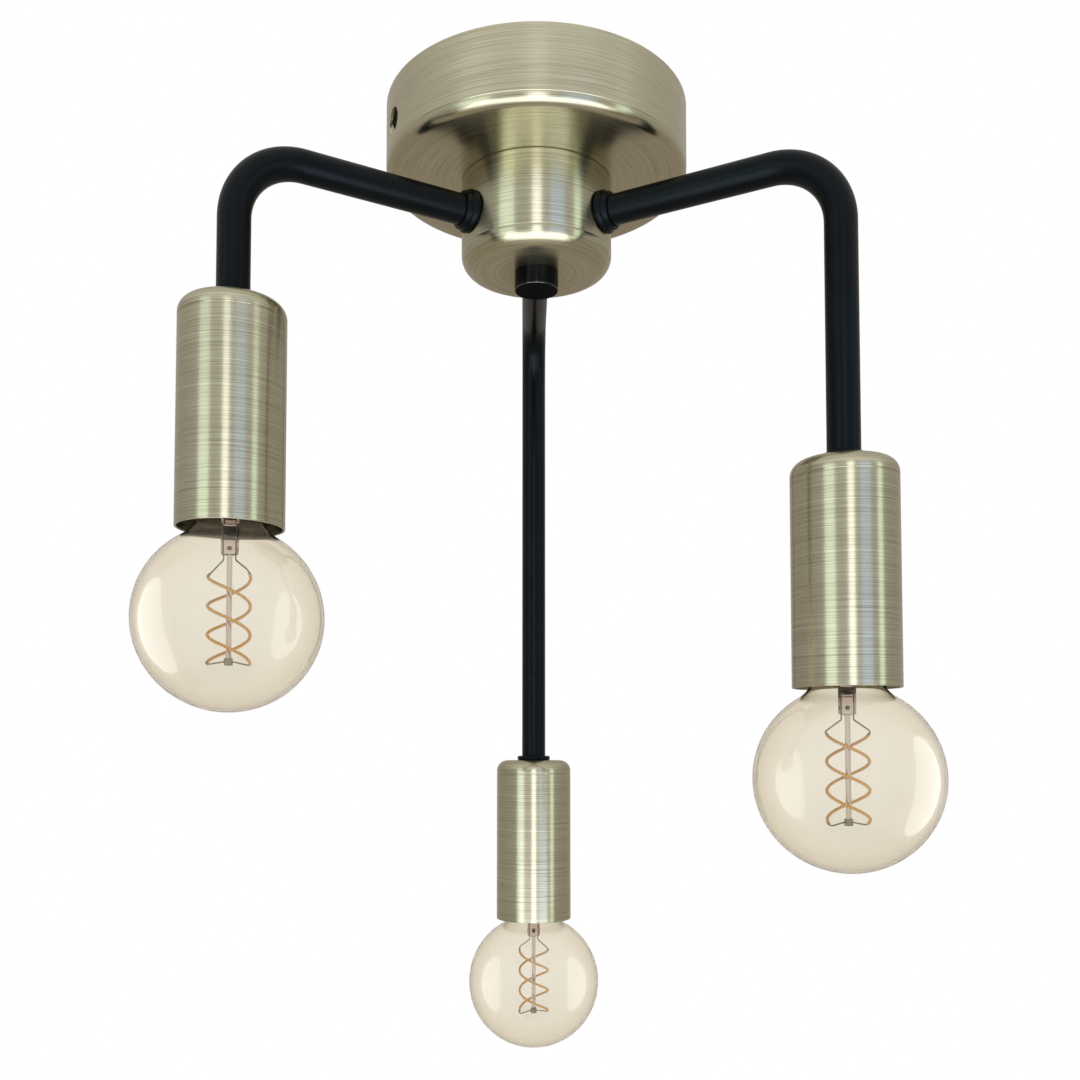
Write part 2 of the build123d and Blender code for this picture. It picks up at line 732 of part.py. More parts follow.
    # lead wires, cross supports and the metal foot that joins both filaments under the rod
    with BuildPart() as bulb_wires:
        for phase, sign in ((0.0, 1), (math.pi, -1)):
            pinch = rim + Vector(sign * lead_x, 0, -pinch_drop - push_play)
            top_way = helix_tangent(0, phase)
            top_end = helix_point(0, phase) + rim - top_way * strand_d
            low_way = helix_tangent(strand_turns, phase)
            low_end = helix_point(strand_turns, phase) + rim + low_way * strand_d
            sleeve_side = helix_point(strand_turns, phase)
            sleeve_point = rim + Vector(sleeve_side.X, sleeve_side.Y, 0).normalized() * sleeve_r
            sleeve_point += Vector(0, 0, rod_low + foot_h / 2)
            support_end = helix_point(strand_turns / 2, phase)
            inward = Vector(support_end.X, support_end.Y, 0).normalized()
            wires = [
                [pinch, pinch - Vector(0, 0, lead_drop), top_end - top_way * lead_tail, top_end],
                [low_end, low_end + low_way * lead_tail, sleeve_point],
            ]
            for wire_points in wires:
                with BuildLine() as lead:
                    FilletPolyline(*wire_points, radius=lead_d * 1.5)
                with BuildSketch(lead.wire() ^ 0):
                    Circle(lead_d / 2)
                sweep()
            with BuildSketch(Plane(origin=rim + inward * stem_rod_d / 2 + Vector(0, 0, support_end.Z), z_dir=inward)):
                Circle(support_d / 2)
            extrude(amount=winding_r - strand_d / 2 - stem_rod_d / 2)
        with BuildSketch(socket.offset(rod_low)):
            Circle(sleeve_r)
            Circle(stem_rod_d / 2 + push_play, mode=Mode.SUBTRACT)
        extrude(amount=foot_h)
    save(bulb_wires.part, f"bulb_wires_{side}")

# least gap of the wound filaments to each other and to themselves a half turn on
steps = 240
strands = [[helix_point(strand_turns * i / steps, phase) for i in range(steps + 1)] for phase in (0.0, math.pi)]
half_turn = round(steps / strand_turns / 2)
own_gap = min((a - b).length for i, a in enumerate(strands[0]) for b in strands[0][i + half_turn:])
pair_gap = min((a - b).length for a in strands[0] for b in strands[1])
print(f"filament least gap to itself {own_gap - strand_d:.2f} mm, to its pair {pair_gap - strand_d:.2f} mm")
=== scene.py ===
import json
import math

import bmesh
import bpy
import numpy as np
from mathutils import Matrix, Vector

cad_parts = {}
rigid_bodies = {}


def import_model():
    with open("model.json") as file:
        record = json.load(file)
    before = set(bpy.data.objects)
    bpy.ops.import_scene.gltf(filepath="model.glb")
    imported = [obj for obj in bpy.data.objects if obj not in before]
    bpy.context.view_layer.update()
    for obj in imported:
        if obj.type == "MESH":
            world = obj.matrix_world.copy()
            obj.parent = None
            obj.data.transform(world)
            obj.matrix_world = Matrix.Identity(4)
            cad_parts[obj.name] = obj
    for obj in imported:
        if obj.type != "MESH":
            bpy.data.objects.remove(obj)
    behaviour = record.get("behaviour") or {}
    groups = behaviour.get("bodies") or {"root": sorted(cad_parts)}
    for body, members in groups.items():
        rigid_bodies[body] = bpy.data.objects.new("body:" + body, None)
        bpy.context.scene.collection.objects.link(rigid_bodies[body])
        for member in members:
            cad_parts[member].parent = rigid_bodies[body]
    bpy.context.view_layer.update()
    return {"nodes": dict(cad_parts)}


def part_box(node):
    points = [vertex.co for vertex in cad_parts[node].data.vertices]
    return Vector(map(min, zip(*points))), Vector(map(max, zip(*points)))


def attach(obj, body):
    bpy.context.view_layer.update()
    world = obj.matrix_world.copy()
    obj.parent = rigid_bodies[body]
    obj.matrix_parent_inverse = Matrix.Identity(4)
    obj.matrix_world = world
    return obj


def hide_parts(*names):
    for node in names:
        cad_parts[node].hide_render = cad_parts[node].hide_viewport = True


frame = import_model()
mm = 0.001
scene = bpy.context.scene
uvLength = 100  # millimetres of profile in one unit of the UV map
up = np.array([0, 0, 1.0])
print("frame loaded")

# where things are, read from the frame's own boxes
sides = ("left", "right", "rear")


def boxOf(node):
    low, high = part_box(node)
    return np.array(low), np.array(high)


def axisOf(node):
    low, high = boxOf(node)
    return (low + high) / 2


canopyLow, canopyHigh = boxOf("canopy")
hubLow, hubHigh = boxOf("hub")
knobLow, knobHigh = boxOf("finial_knob")
canopyRadius = (canopyHigh[0] - canopyLow[0]) / 2
hubRadius = (hubHigh[0] - hubLow[0]) / 2
cupAxis = {side: axisOf(f"socket_cup_{side}")[:2] for side in sides}
cupRim = {side: boxOf(f"socket_cup_{side}")[0][2] for side in sides}
cupTop = {side: boxOf(f"socket_cup_{side}")[1][2] for side in sides}
armHeight = axisOf("hub_nipples")[2]
azimuth = {side: math.atan2(cupAxis[side][1], cupAxis[side][0]) for side in sides}
reach = {side: float(np.hypot(*cupAxis[side])) for side in sides}


def linearColour(hexColour):
    # sRGB hex to linear: (c + 0.055) / 1.055 to the power 2.4, or c / 12.92 near black
    parts = [int(hexColour[i:i + 2], 16) / 255 for i in (1, 3, 5)]
    return tuple(p / 12.92 if p <= 0.04045 else ((p + 0.055) / 1.055) ** 2.4 for p in parts) + (1.0,)


def addNode(tree, kind, inputs=None, stops=(), **settings):
    # one shader node with its settings; an input is a number, a hex colour, an output socket, or a node
    # whose first output is linked; stops are a colour ramp's (position, hex colour) pairs
    node = tree.nodes.new("ShaderNode" + kind)
    for key, value in settings.items():
        setattr(node, key, value)
    for key, value in (inputs or {}).items():
        if isinstance(value, bpy.types.Node):
            value = value.outputs[0]
        if isinstance(value, bpy.types.NodeSocket):
            tree.links.new(value, node.inputs[key])
        else:
            node.inputs[key].default_value = linearColour(value) if isinstance(value, str) else value
    if stops:
        elements = node.color_ramp.elements
        while len(elements) < len(stops):
            elements.new(0.5)
        for element, (position, colour) in zip(elements, stops):
            element.position = position
            element.color = linearColour(colour)
    return node


def newMaterial(name):
    material = bpy.data.materials.new(name)
    material.use_nodes = True
    material.node_tree.nodes.clear()
    return material, material.node_tree


def roundCorners(points, steps=8):
    # polyline of (r, z, corner radius) in millimetres: each corner becomes a tangent arc of that radius
    points = [np.array(tuple(p) + (0.0,) * (3 - len(p)), dtype=float) for p in points]
    out = []
    for i, p in enumerate(points):
        here, radius = p[:2], p[2]
        if radius == 0:
            out.append(here)
            continue
        before = points[i - 1][:2] - here
        after = points[(i + 1) % len(points)][:2] - here
        before = before / np.linalg.norm(before)
        after = after / np.linalg.norm(after)
        half = math.acos(float(np.clip(before @ after, -1, 1))) / 2
        centre = here + (before + after) / np.linalg.norm(before + after) * radius / math.sin(half)
        start = here + before * radius / math.tan(half) - centre
        end = here + after * radius / math.tan(half) - centre
        a0, a1 = math.atan2(start[1], start[0]), math.atan2(end[1], end[0])
        turn = (a1 - a0 + math.pi) % math.tau - math.pi
        for a in a0 + turn * np.linspace(0, 1, steps + 1):
            out.append(centre + radius * np.array([math.cos(a), math.sin(a)]))
    return np.array(out)


def arcPoints(centre, radius, fromAngle, toAngle, steps):
    # centre + radius * (cos a, sin a), a going evenly from one angle to the other, in degrees
    a = np.radians(np.linspace(fromAngle, toAngle, steps + 1))
    return np.stack([centre[0] + radius * np.cos(a), centre[1] + radius * np.sin(a)], -1)


def gridFaces(rows, columns, wrapRows, wrapColumns):
    # quads of a grid whose point (i, j) is number i * columns + j
    i = np.arange(rows if wrapRows else rows - 1)
    j = np.arange(columns if wrapColumns else columns - 1)
    i, j = np.meshgrid(i, j, indexing="ij")
    row, nextRow, nextJ = i * columns, (i + 1) % rows * columns, (j + 1) % columns
    return np.stack([row + j, row + nextJ, nextRow + nextJ, nextRow + j], -1).reshape(-1, 4)


def buildMesh(name, points, faces, turned, uv=None, sharpAngle=35, patched=False):
    # points in metres; the faces are turned round if they enclose a negative volume, poles are merged,
    # and the faces of a patched shell are made to agree
    points = np.asarray(points, dtype=float)
    corners = points[faces]
    volume = np.einsum("ij,ij->", corners[:, 0], np.cross(corners[:, 1], corners[:, 2]))
    volume += np.einsum("ij,ij->", corners[:, 0], np.cross(corners[:, 2], corners[:, 3]))
    if volume < 0:
        faces = faces[:, ::-1]
        uv = None if uv is None else uv[:, ::-1]
    mesh = bpy.data.meshes.new(name)
    mesh.from_pydata(points.tolist(), [], faces.tolist())
    layer = mesh.attributes.new("turned", "FLOAT_VECTOR", "POINT")
    layer.data.foreach_set("vector", np.asarray(turned, dtype=np.float32).ravel())
    if uv is not None:
        layer = mesh.uv_layers.new(name="alongProfile")
        layer.data.foreach_set("uv", np.asarray(uv, dtype=np.float32).ravel())
    shell = bmesh.new()
    shell.from_mesh(mesh)
    bmesh.ops.remove_doubles(shell, verts=shell.verts, dist=1e-7)
    if patched:
        bmesh.ops.recalc_face_normals(shell, faces=shell.faces)
    shell.to_mesh(mesh)
    shell.free()
    mesh.shade_smooth()
    mesh.set_sharp_from_angle(angle=math.radians(sharpAngle))
    piece = bpy.data.objects.new(name, mesh)
    scene.collection.objects.link(piece)
    return piece


def latheGrid(profile, segments, closed):
    # point (i, j) = (r_i cos a_j, r_i sin a_j, z_i) in mm, a_j evenly round the axis;
    # the turned attribute is x and y from the axis and the length along the profile, all in mm
    profile = np.asarray(profile, dtype=float)
    rows = len(profile)
    a = np.linspace(0, math.tau, segments, endpoint=False)
    r, z = profile[:, 0][:, None], profile[:, 1][:, None]
    points = np.stack([r * np.cos(a), r * np.sin(a), z + 0 * a], -1)
    loop = np.vstack([profile, profile[:1]]) if closed else profile
    length = np.concatenate([[0], np.cumsum(np.linalg.norm(np.diff(loop, axis=0), axis=1))])
    turned = np.stack([r * np.cos(a), r * np.sin(a), length[:rows, None] + 0 * a], -1)
    faces = gridFaces(rows, segments, closed, True)
    i, j = np.meshgrid(np.arange(rows if closed else rows - 1), np.arange(segments), indexing="ij")
    s0, s1 = length[i] / uvLength, length[i + 1] / uvLength
    v0, v1 = j / segments, (j + 1) / segments
    uv = np.stack([np.stack(corner, -1) for corner in ((s0, v0), (s0, v1), (s1, v1), (s1, v0))], 2)
    return points, faces, turned, uv.reshape(-1, 4, 2)


def lathe(name, profile, centre, segments, closed=True, shape=None, sharpAngle=35):
    # a profile in mm turned round the axis through centre; shape moves the points before that
    points, faces, turned, uv = latheGrid(profile, segments, closed)
    if shape is not None:
        points = shape(points)
    points = points.reshape(-1, 3) * mm + np.array(centre)
    return buildMesh(name, points, faces, turned.reshape(-1, 3), uv, sharpAngle)


def tubeAlong(name, path, radius, segments, bore=None, startShape=None):
    # a circle of the radius carried along the path in metres, its frame turned from tangent to tangent;
    # with a bore the tube is open and startShape moves its first ring, without one its ends close to a point
    path = np.asarray(path, dtype=float)
    tangents = np.gradient(path, axis=0)
    tangents[0] = path[1] - path[0]
    tangents[-1] = path[-1] - path[-2]
    tangents /= np.linalg.norm(tangents, axis=1)[:, None]
    across = np.cross(tangents[0], up if abs(tangents[0][2]) < 0.9 else np.array([1.0, 0, 0]))
    frames = []
    for t in tangents:
        across = across - t * (across @ t)
        across = across / np.linalg.norm(across)
        frames.append((across, np.cross(t, across)))
    a = np.linspace(0, math.tau, segments, endpoint=False)
    u = np.array([f[0] for f in frames])[:, None, :]
    v = np.array([f[1] for f in frames])[:, None, :]
    ring = np.cos(a)[None, :, None] * u + np.sin(a)[None, :, None] * v
    length = np.concatenate([[0], np.cumsum(np.linalg.norm(np.diff(path, axis=0), axis=1))])
    outer = path[:, None, :] + ring * radius
    if bore is None:
        first, last = (path[end] + 0 * outer[:1] for end in (0, -1))
        points = np.concatenate([first, outer, last])
        along = np.concatenate([[0], length, [length[-1]]])[:, None]
    else:
        inner = path[:, None, :] + ring * bore
        outer[0], inner[0] = startShape(outer[0]), startShape(inner[0])
        points = np.concatenate([outer, inner[::-1]])
        along = np.concatenate([length, length[::-1]])[:, None]
    faces = gridFaces(len(points), segments, bore is not None, True)
    turned = np.stack([np.cos(a) + 0 * along, np.sin(a) + 0 * along, along / mm + 0 * a], -1)
    return buildMesh(name, points.reshape(-1, 3), faces, turned.reshape(-1, 3))


def dress(piece, material, body, slot, *nodes):
    # material, body, record slot (not used) and the CAD nodes that the piece stands for
    piece.data.materials.append(material)
    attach(piece, body)
    if nodes:
        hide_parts(*nodes)
    return piece


def paint(material, *nodes):
    # a CAD node keeps its shape and takes this material
    for node in nodes:
        piece = frame["nodes"][node]
        piece.data.materials.clear()
        piece.data.materials.append(material)


# the camera stands where the photograph was taken from, fitted to the canopy, hub and arms
view = {"distance": 0.5502, "height": -0.31685, "pitch": 2.71, "aside": -0.65, "focal": 37.217, "sensor": 36,
        "shiftX": 0.0033, "shiftY": 0.14, "near": 0.01}
cameraData = bpy.data.cameras.new("photographView")
cameraData.lens = view["focal"]
cameraData.sensor_width = view["sensor"]
cameraData.shift_x = view["shiftX"]
cameraData.shift_y = view["shiftY"]
cameraData.clip_start = view["near"]
camera = bpy.data.objects.new("photographView", cameraData)
aside = math.radians(view["aside"])
camera.location = (view["distance"] * math.sin(aside), -view["distance"] * math.cos(aside), view["height"])
camera.rotation_euler = (math.radians(90 + view["pitch"]), 0, aside)
scene.collection.objects.link(camera)
scene.camera = camera
print("camera set")


# lacquered brass in an antique tone, turned and brushed: fine rings round the axis, brown where the
# toning stayed in them, and highlights drawn out along the profile because the rings scatter across it
# the real rings are about 0.2 mm apart; they are drawn at 0.38 mm so that they show
brassLook = {"dark": "#a09a80", "middle": "#afaa8f", "light": "#bdb99f", "tone": "#5e4c2e", "ringMm": 0.38,
             "ringLengthMm": 55, "streakMm": 0.4, "streakLengthMm": 26, "streakShift": 7.3, "toneFrom": 0.6,
             "toneTo": 0.74, "toneMost": 0.42, "depthMm": 0.01, "depthShare": 0.2, "roughness": (0.2, 0.3),
             "brushing": 0.75, "lacquer": 0.3, "lacquerRoughness": 0.22}


def ringNoise(tree, ringMm, lengthMm, detail, shift=0.0):
    # noise that is ringMm wide along the profile and lengthMm long round the axis
    turned = addNode(tree, "Attribute", attribute_name="turned").outputs["Vector"]
    split = addNode(tree, "SeparateXYZ", {"Vector": turned})
    axes = {}
    for axis, size in (("X", lengthMm), ("Y", lengthMm), ("Z", ringMm)):
        axes[axis] = addNode(tree, "Math", {0: split.outputs[axis], 1: 1 / size, 2: shift},
                             operation="MULTIPLY_ADD")
    place = addNode(tree, "CombineXYZ", axes)
    return addNode(tree, "TexNoise", {"Vector": place, "Scale": 1.0, "Detail": detail})


def turnedBrass(name, look):
    material, tree = newMaterial(name)
    rings = ringNoise(tree, look["ringMm"], look["ringLengthMm"], 3.0)
    streaks = ringNoise(tree, look["streakMm"], look["streakLengthMm"], 2.0, look["streakShift"])
    metal = addNode(tree, "ValToRGB", {"Fac": rings},
                    [(0.3, look["dark"]), (0.5, look["middle"]), (0.7, look["light"])])
    toned = addNode(tree, "MapRange", {"Value": streaks, "From Min": look["toneFrom"],
                                       "From Max": look["toneTo"], "To Max": look["toneMost"]})
    colour = addNode(tree, "Mix", {"Factor": toned, 6: metal, 7: look["tone"]}, data_type="RGBA")
    low, high = look["roughness"]
    roughness = addNode(tree, "MapRange", {"Value": rings, "To Min": low, "To Max": high})
    bump = addNode(tree, "Bump", {"Height": rings, "Strength": look["depthShare"],
                                  "Distance": look["depthMm"] * mm})
    tangent = addNode(tree, "Tangent", direction_type="UV_MAP", uv_map="alongProfile")
    shader = addNode(tree, "BsdfPrincipled", {
        "Base Color": colour.outputs[2], "Metallic": 1.0, "Roughness": roughness,
        "Anisotropic": look["brushing"], "Coat Weight": look["lacquer"],
        "Coat Roughness": look["lacquerRoughness"], "Normal": bump, "Tangent": tangent})
    addNode(tree, "OutputMaterial", {"Surface": shader})
    return material


brass = turnedBrass("turnedLacqueredBrass", brassLook)


def sprayed(name, colours, roughness, grainMm, depthMm, metallic=0.0, specular=0.5, gloss="#ffffff"):
    # a colour that drifts a little over centimetres, with a fine grain that breaks up its gloss
    material, tree = newMaterial(name)
    place = addNode(tree, "TexCoord").outputs["Object"]
    drift = addNode(tree, "TexNoise", {"Vector": place, "Scale": 45.0, "Detail": 2.0})
    grain = addNode(tree, "TexNoise", {"Vector": place, "Scale": 1 / (grainMm * mm), "Detail": 1.0})
    colour = addNode(tree, "ValToRGB", {"Fac": drift}, [(0.3, colours[0]), (0.7, colours[1])])
    rough = addNode(tree, "MapRange", {"Value": grain, "To Min": roughness[0], "To Max": roughness[1]})
    bump = addNode(tree, "Bump", {"Height": grain, "Strength": 0.5, "Distance": depthMm * mm})
    shader = addNode(tree, "BsdfPrincipled", {
        "Base Color": colour, "Metallic": metallic, "Roughness": rough, "Specular IOR Level": specular,
        "Specular Tint": gloss, "Normal": bump})
    addNode(tree, "OutputMaterial", {"Surface": shader})
    return material


# baked powder coat: an orange-peel grain of about 0.9 mm that softens its bluish satin highlight
powderCoat = sprayed("blackPowderCoat", ("#030607", "#07090b"), roughness=(0.24, 0.36), grainMm=0.9,
                     depthMm=0.012, specular=0.15, gloss="#cfdfe8")
# bright zinc on steel: pale blue-grey with cloudy crystals a few millimetres across
zinc = sprayed("zincPlatedSteel", ("#b4b7b9", "#cfd1d1"), roughness=(0.26, 0.4), grainMm=2.5, depthMm=0.01,
               metallic=1.0)
# plain machined brass: yellow and clean
plainBrass = sprayed("machinedBrass", ("#c6a35a", "#d8b870"), roughness=(0.22, 0.34), grainMm=0.6,
                     depthMm=0.008, metallic=1.0)
# nickel plated sheet: warm grey mirror with rolling marks
nickel = sprayed("nickelPlatedBrass", ("#b9b4a8", "#cdc8bc"), roughness=(0.16, 0.3), grainMm=0.8,
                 depthMm=0.006, metallic=1.0)
# drawn nickel wire: duller than plate
nickelWire = sprayed("drawnNickelWire", ("#8f8a82", "#a8a39a"), roughness=(0.28, 0.42), grainMm=0.3,
                     depthMm=0.004, metallic=1.0)
# moulded white polyamide, matt
polyamide = sprayed("whitePolyamide", ("#e4e2db", "#eeece6"), roughness=(0.42, 0.55), grainMm=0.5,
                    depthMm=0.01)
# moulded black thermoplastic with a fine spark-eroded grain
thermoplastic = sprayed("blackThermoplastic", ("#161616", "#1e1e1e"), roughness=(0.45, 0.6), grainMm=0.4,
                        depthMm=0.02)
# extruded PVC sheath, smooth and a little glossy
sheath = sprayed("cableSheath", ("#1a1a1b", "#222223"), roughness=(0.4, 0.5), grainMm=0.7, depthMm=0.006)
# vitreous cap insulator, glossy violet black
capGlass = sprayed("blackCapGlass", ("#120e12", "#1b161b"), roughness=(0.08, 0.16), grainMm=1.5,
                   depthMm=0.006)

# gloss black enamel on the knob's side, matt and finely turned on its flat end; the gloss stops stand
# over how far the surface faces down: side, rounded edge, flat end
enamelLook = {"dark": "#030304", "light": "#07080a", "ringMm": 0.35, "ringLengthMm": 30, "depthMm": 0.02,
              "roughness": (0.1, 0.2), "endFrom": 0.75, "endTo": 0.98, "endRoughness": 0.4,
              "gloss": [(0.1, "#5a5a5a"), (0.3, "#ffffff"), (0.8, "#ffffff"), (0.97, "#202020")]}


def knobEnamel(look):
    material, tree = newMaterial("blackKnobEnamel")
    rings = ringNoise(tree, look["ringMm"], look["ringLengthMm"], 2.0)
    normal = addNode(tree, "NewGeometry").outputs["Normal"]
    facing = addNode(tree, "SeparateXYZ", {"Vector": normal}).outputs["Z"]
    down = addNode(tree, "Math", {0: facing, 1: -1.0}, operation="MULTIPLY")
    flat = addNode(tree, "MapRange", {"Value": down, "From Min": look["endFrom"], "From Max": look["endTo"]})
    low, high = look["roughness"]
    base = addNode(tree, "MapRange", {"Value": rings, "To Min": low, "To Max": high})
    rough = addNode(tree, "Mix", {"Factor": flat, "A": base, "B": look["endRoughness"]}, data_type="FLOAT")
    gloss = addNode(tree, "ValToRGB", {"Fac": down}, look["gloss"])
    colour = addNode(tree, "ValToRGB", {"Fac": rings}, [(0.3, look["dark"]), (0.7, look["light"])])
    bump = addNode(tree, "Bump", {"Height": rings, "Strength": 0.25, "Distance": look["depthMm"] * mm})
    shader = addNode(tree, "BsdfPrincipled", {
        "Base Color": colour, "Roughness": rough, "Specular IOR Level": gloss, "Normal": bump})
    addNode(tree, "OutputMaterial", {"Surface": shader})
    return material


enamel = knobEnamel(enamelLook)

# clear soda glass: the tint gathers where the wall is seen edge on, faint waves from blowing, and a soft
# bloom over the reflections
glassLook = {"edgeBlend": 0.36, "wavesPerMetre": 30.0, "waveMm": 0.08, "reflection": "#c0c0c0", "bloom": 0.7,
             "bloomRoughness": 0.32}


def blownGlass(name, colours, roughness):
    look = glassLook
    material, tree = newMaterial(name)
    place = addNode(tree, "TexCoord").outputs["Object"]
    waves = addNode(tree, "TexNoise", {"Vector": place, "Scale": look["wavesPerMetre"], "Detail": 1.0})
    edge = addNode(tree, "LayerWeight", {"Blend": look["edgeBlend"]}).outputs["Facing"]
    tint = addNode(tree, "ValToRGB", {"Fac": edge},
                   [(0.0, colours[0]), (0.55, colours[1]), (1.0, colours[2])])
    bump = addNode(tree, "Bump", {"Height": waves, "Strength": 0.1, "Distance": look["waveMm"] * mm})
    shader = addNode(tree, "BsdfPrincipled", {
        "Base Color": tint, "Roughness": roughness, "IOR": 1.45, "Transmission Weight": 1.0,
        "Specular Tint": look["reflection"], "Coat Weight": look["bloom"],
        "Coat Roughness": look["bloomRoughness"], "Normal": bump})
    addNode(tree, "OutputMaterial", {"Surface": shader})
    return material


# the lamps' glass is tinted a pale champagne amber; the stem inside is greyer
amberGlass = blownGlass("champagneLampGlass", ("#f6f2e9", "#f1e9d8", "#a88852"), 0.0)
clearGlass = blownGlass("clearStemGlass", ("#d8cdc9", "#b5a69f", "#594b46"), 0.02)
# the little hole in the pinch is glass tinted almost black: painted shade for how dark it shows inside the
# clear stem
darkBubble = blownGlass("pumpBubblePaintedShade", ("#6a5e58", "#4a403b", "#2b2522"), 0.05)

# phosphor gel over the diode chips of a filament strand, unlit: tan, lighter at each chip
phosphorLook = {"between": "#e2a853", "chip": "#f6cf92", "chipMm": 1.4, "reliefMm": 0.1, "roughness": 0.45}


def phosphorGel(look):
    # light and dark follow the sine of the length along the strand over the chips' spacing
    material, tree = newMaterial("filamentPhosphor")
    turned = addNode(tree, "Attribute", attribute_name="turned").outputs["Vector"]
    length = addNode(tree, "SeparateXYZ", {"Vector": turned}).outputs["Z"]
    beat = addNode(tree, "Math", {0: length, 1: math.tau / look["chipMm"]}, operation="MULTIPLY")
    wave = addNode(tree, "Math", {0: beat}, operation="SINE")
    chips = addNode(tree, "MapRange", {"Value": wave, "From Min": -1.0})
    colour = addNode(tree, "ValToRGB", {"Fac": chips}, [(0.0, look["between"]), (1.0, look["chip"])])
    bump = addNode(tree, "Bump", {"Height": chips, "Strength": 0.4, "Distance": look["reliefMm"] * mm})
    shader = addNode(tree, "BsdfPrincipled", {
        "Base Color": colour, "Roughness": look["roughness"], "Normal": bump})
    addNode(tree, "OutputMaterial", {"Surface": shader})
    return material


phosphor = phosphorGel(phosphorLook)
print("materials made")

# canopy: drawn cup with a collar that locates the hub and a round cable hole in its wall
canopyShape = {"wall": 1.2, "bottomRound": 4.5, "collarRadius": 35.9, "collarWall": 1.2, "rimRound": 0.35,
               "edge": 0.3, "line": 0.15, "lineHalf": 0.2, "lineRise": 0.5, "flatOut": 9, "flatIn": 3,
               "flatRows": 5, "holeRadius": 6.5, "holeDepth": 20.0, "holeAzimuth": 203.5, "blockRows": 13,
               "blockHalf": 10.5, "rings": 3, "roundSteps": 10, "segments": 300}


def canopyProfile(c, radius, inside, rows):
    # down the outer wall past a fine line, in along the underside, round the collar and up the inner wall
    floor, top, foot = hubHigh[2] / mm, canopyHigh[2] / mm, canopyLow[2] / mm
    line = floor + c["bottomRound"] + c["lineRise"]
    collar, bore = c["collarRadius"], c["collarRadius"] - c["collarWall"]
    outline = [(radius, top, c["rimRound"])] + [(radius, z) for z in rows]
    outline += [(radius, line + c["lineHalf"]), (radius - c["line"], line), (radius, line - c["lineHalf"])]
    outline += [(radius, floor, c["bottomRound"])]
    outline += [(r, floor) for r in np.linspace(radius - c["flatOut"], collar + c["flatIn"], c["flatRows"])]
    outline += [(collar, floor), (collar, foot, c["edge"]), (bore, foot, c["edge"])]
    outline += [(bore, floor + c["wall"]), (inside, floor + c["wall"], c["bottomRound"] - c["wall"])]
    outline += [(inside, z) for z in rows[::-1]] + [(inside, top, c["rimRound"])]
    return roundCorners(outline, c["roundSteps"])


def buildCanopy(c):
    # on both walls a block of the lathe's faces is left out round the hole, and rings of faces lead from
    # the block's edge to the hole's circle: each ring is a share of the way, laid on the wall's cylinder
    radius, inside = canopyRadius / mm, canopyRadius / mm - c["wall"]
    rows = -c["holeDepth"] + c["blockHalf"] * np.linspace(1, -1, c["blockRows"])
    profile = canopyProfile(c, radius, inside, rows)
    segments = c["segments"]
    points, faces, turned, uv = latheGrid(profile, segments, True)
    points, turned = points.reshape(-1, 3), turned.reshape(-1, 3)
    faceRow, faceColumn = np.divmod(np.arange(len(faces)), segments)
    holeAngle, step = math.radians(c["holeAzimuth"]), math.tau / segments
    j0, j1 = (round((holeAngle + turn * c["blockHalf"] / radius) / step) for turn in (-1, 1))
    allPoints, allTurned, extraFaces, circles = [points], [turned], [], []
    dropped = np.zeros(len(faces), dtype=bool)
    base = len(points)
    for wallRadius in (radius, inside):
        ends = [np.hypot(*(profile - (wallRadius, z)).T).argmin() for z in (rows[0], rows[-1])]
        i0, i1 = min(ends), max(ends)
        dropped |= (faceRow >= i0) & (faceRow < i1) & (faceColumn >= j0) & (faceColumn < j1)
        block = [(i0, j) for j in range(j0, j1)] + [(i, j1) for i in range(i0, i1)]
        block += [(i1, j) for j in range(j1, j0, -1)] + [(i, j0) for i in range(i1, i0, -1)]
        previous = np.array([i * segments + j for i, j in block])
        across = np.array([wallRadius * math.sin(j * step - holeAngle) for i, j in block])
        height = points[previous, 2] + c["holeDepth"]
        edge = np.stack([across, height], -1)
        circle = c["holeRadius"] * edge / np.linalg.norm(edge, axis=1)[:, None]
        low, high = height.argmin(), height.argmax()
        along = turned[previous, 2]
        lengthAtMiddle = np.interp(0, height[[low, high]], along[[low, high]])
        slope = 1 if along[high] > lengthAtMiddle else -1
        for share in np.arange(1, c["rings"] + 1) / c["rings"]:
            flat = edge * (1 - share) + circle * share
            a = holeAngle + np.arcsin(flat[:, 0] / wallRadius)
            ring = np.stack([wallRadius * np.cos(a), wallRadius * np.sin(a), flat[:, 1] - c["holeDepth"]], -1)
            allPoints.append(ring)
            allTurned.append(np.stack([ring[:, 0], ring[:, 1], lengthAtMiddle + slope * flat[:, 1]], -1))
            here = base + np.arange(len(ring))
            base += len(ring)
            extraFaces.append(np.stack([previous, np.roll(previous, -1), np.roll(here, -1), here], -1))
            previous = here
        circles.append(previous)
    allPoints, allTurned = np.concatenate(allPoints), np.concatenate(allTurned)
    # the inner wall's block is walked the other way up: its circle is matched by distance and turned round
    outer, inner = circles
    inner = np.roll(inner, -np.linalg.norm(allPoints[inner] - allPoints[outer[0]], axis=1).argmin())
    toSecond = np.linalg.norm(allPoints[inner] - allPoints[outer[1]], axis=1)
    if toSecond[1] > toSecond[-1]:
        inner = np.roll(inner[::-1], 1)
    extraFaces.append(np.stack([outer, np.roll(outer, -1), np.roll(inner, -1), inner], -1))
    extra = np.concatenate(extraFaces)
    x, y, length = np.moveaxis(allTurned[extra], -1, 0)
    extraUv = np.stack([length / uvLength, np.arctan2(y, x) % math.tau / math.tau], -1)
    faces = np.concatenate([faces[~dropped], extra])
    uv = np.concatenate([uv[~dropped], extraUv])
    return buildMesh("canopyShell", allPoints * mm, faces, allTurned, uv, patched=True)


dress(buildCanopy(canopyShape), brass, "fixture", "turned_brass", "canopy")

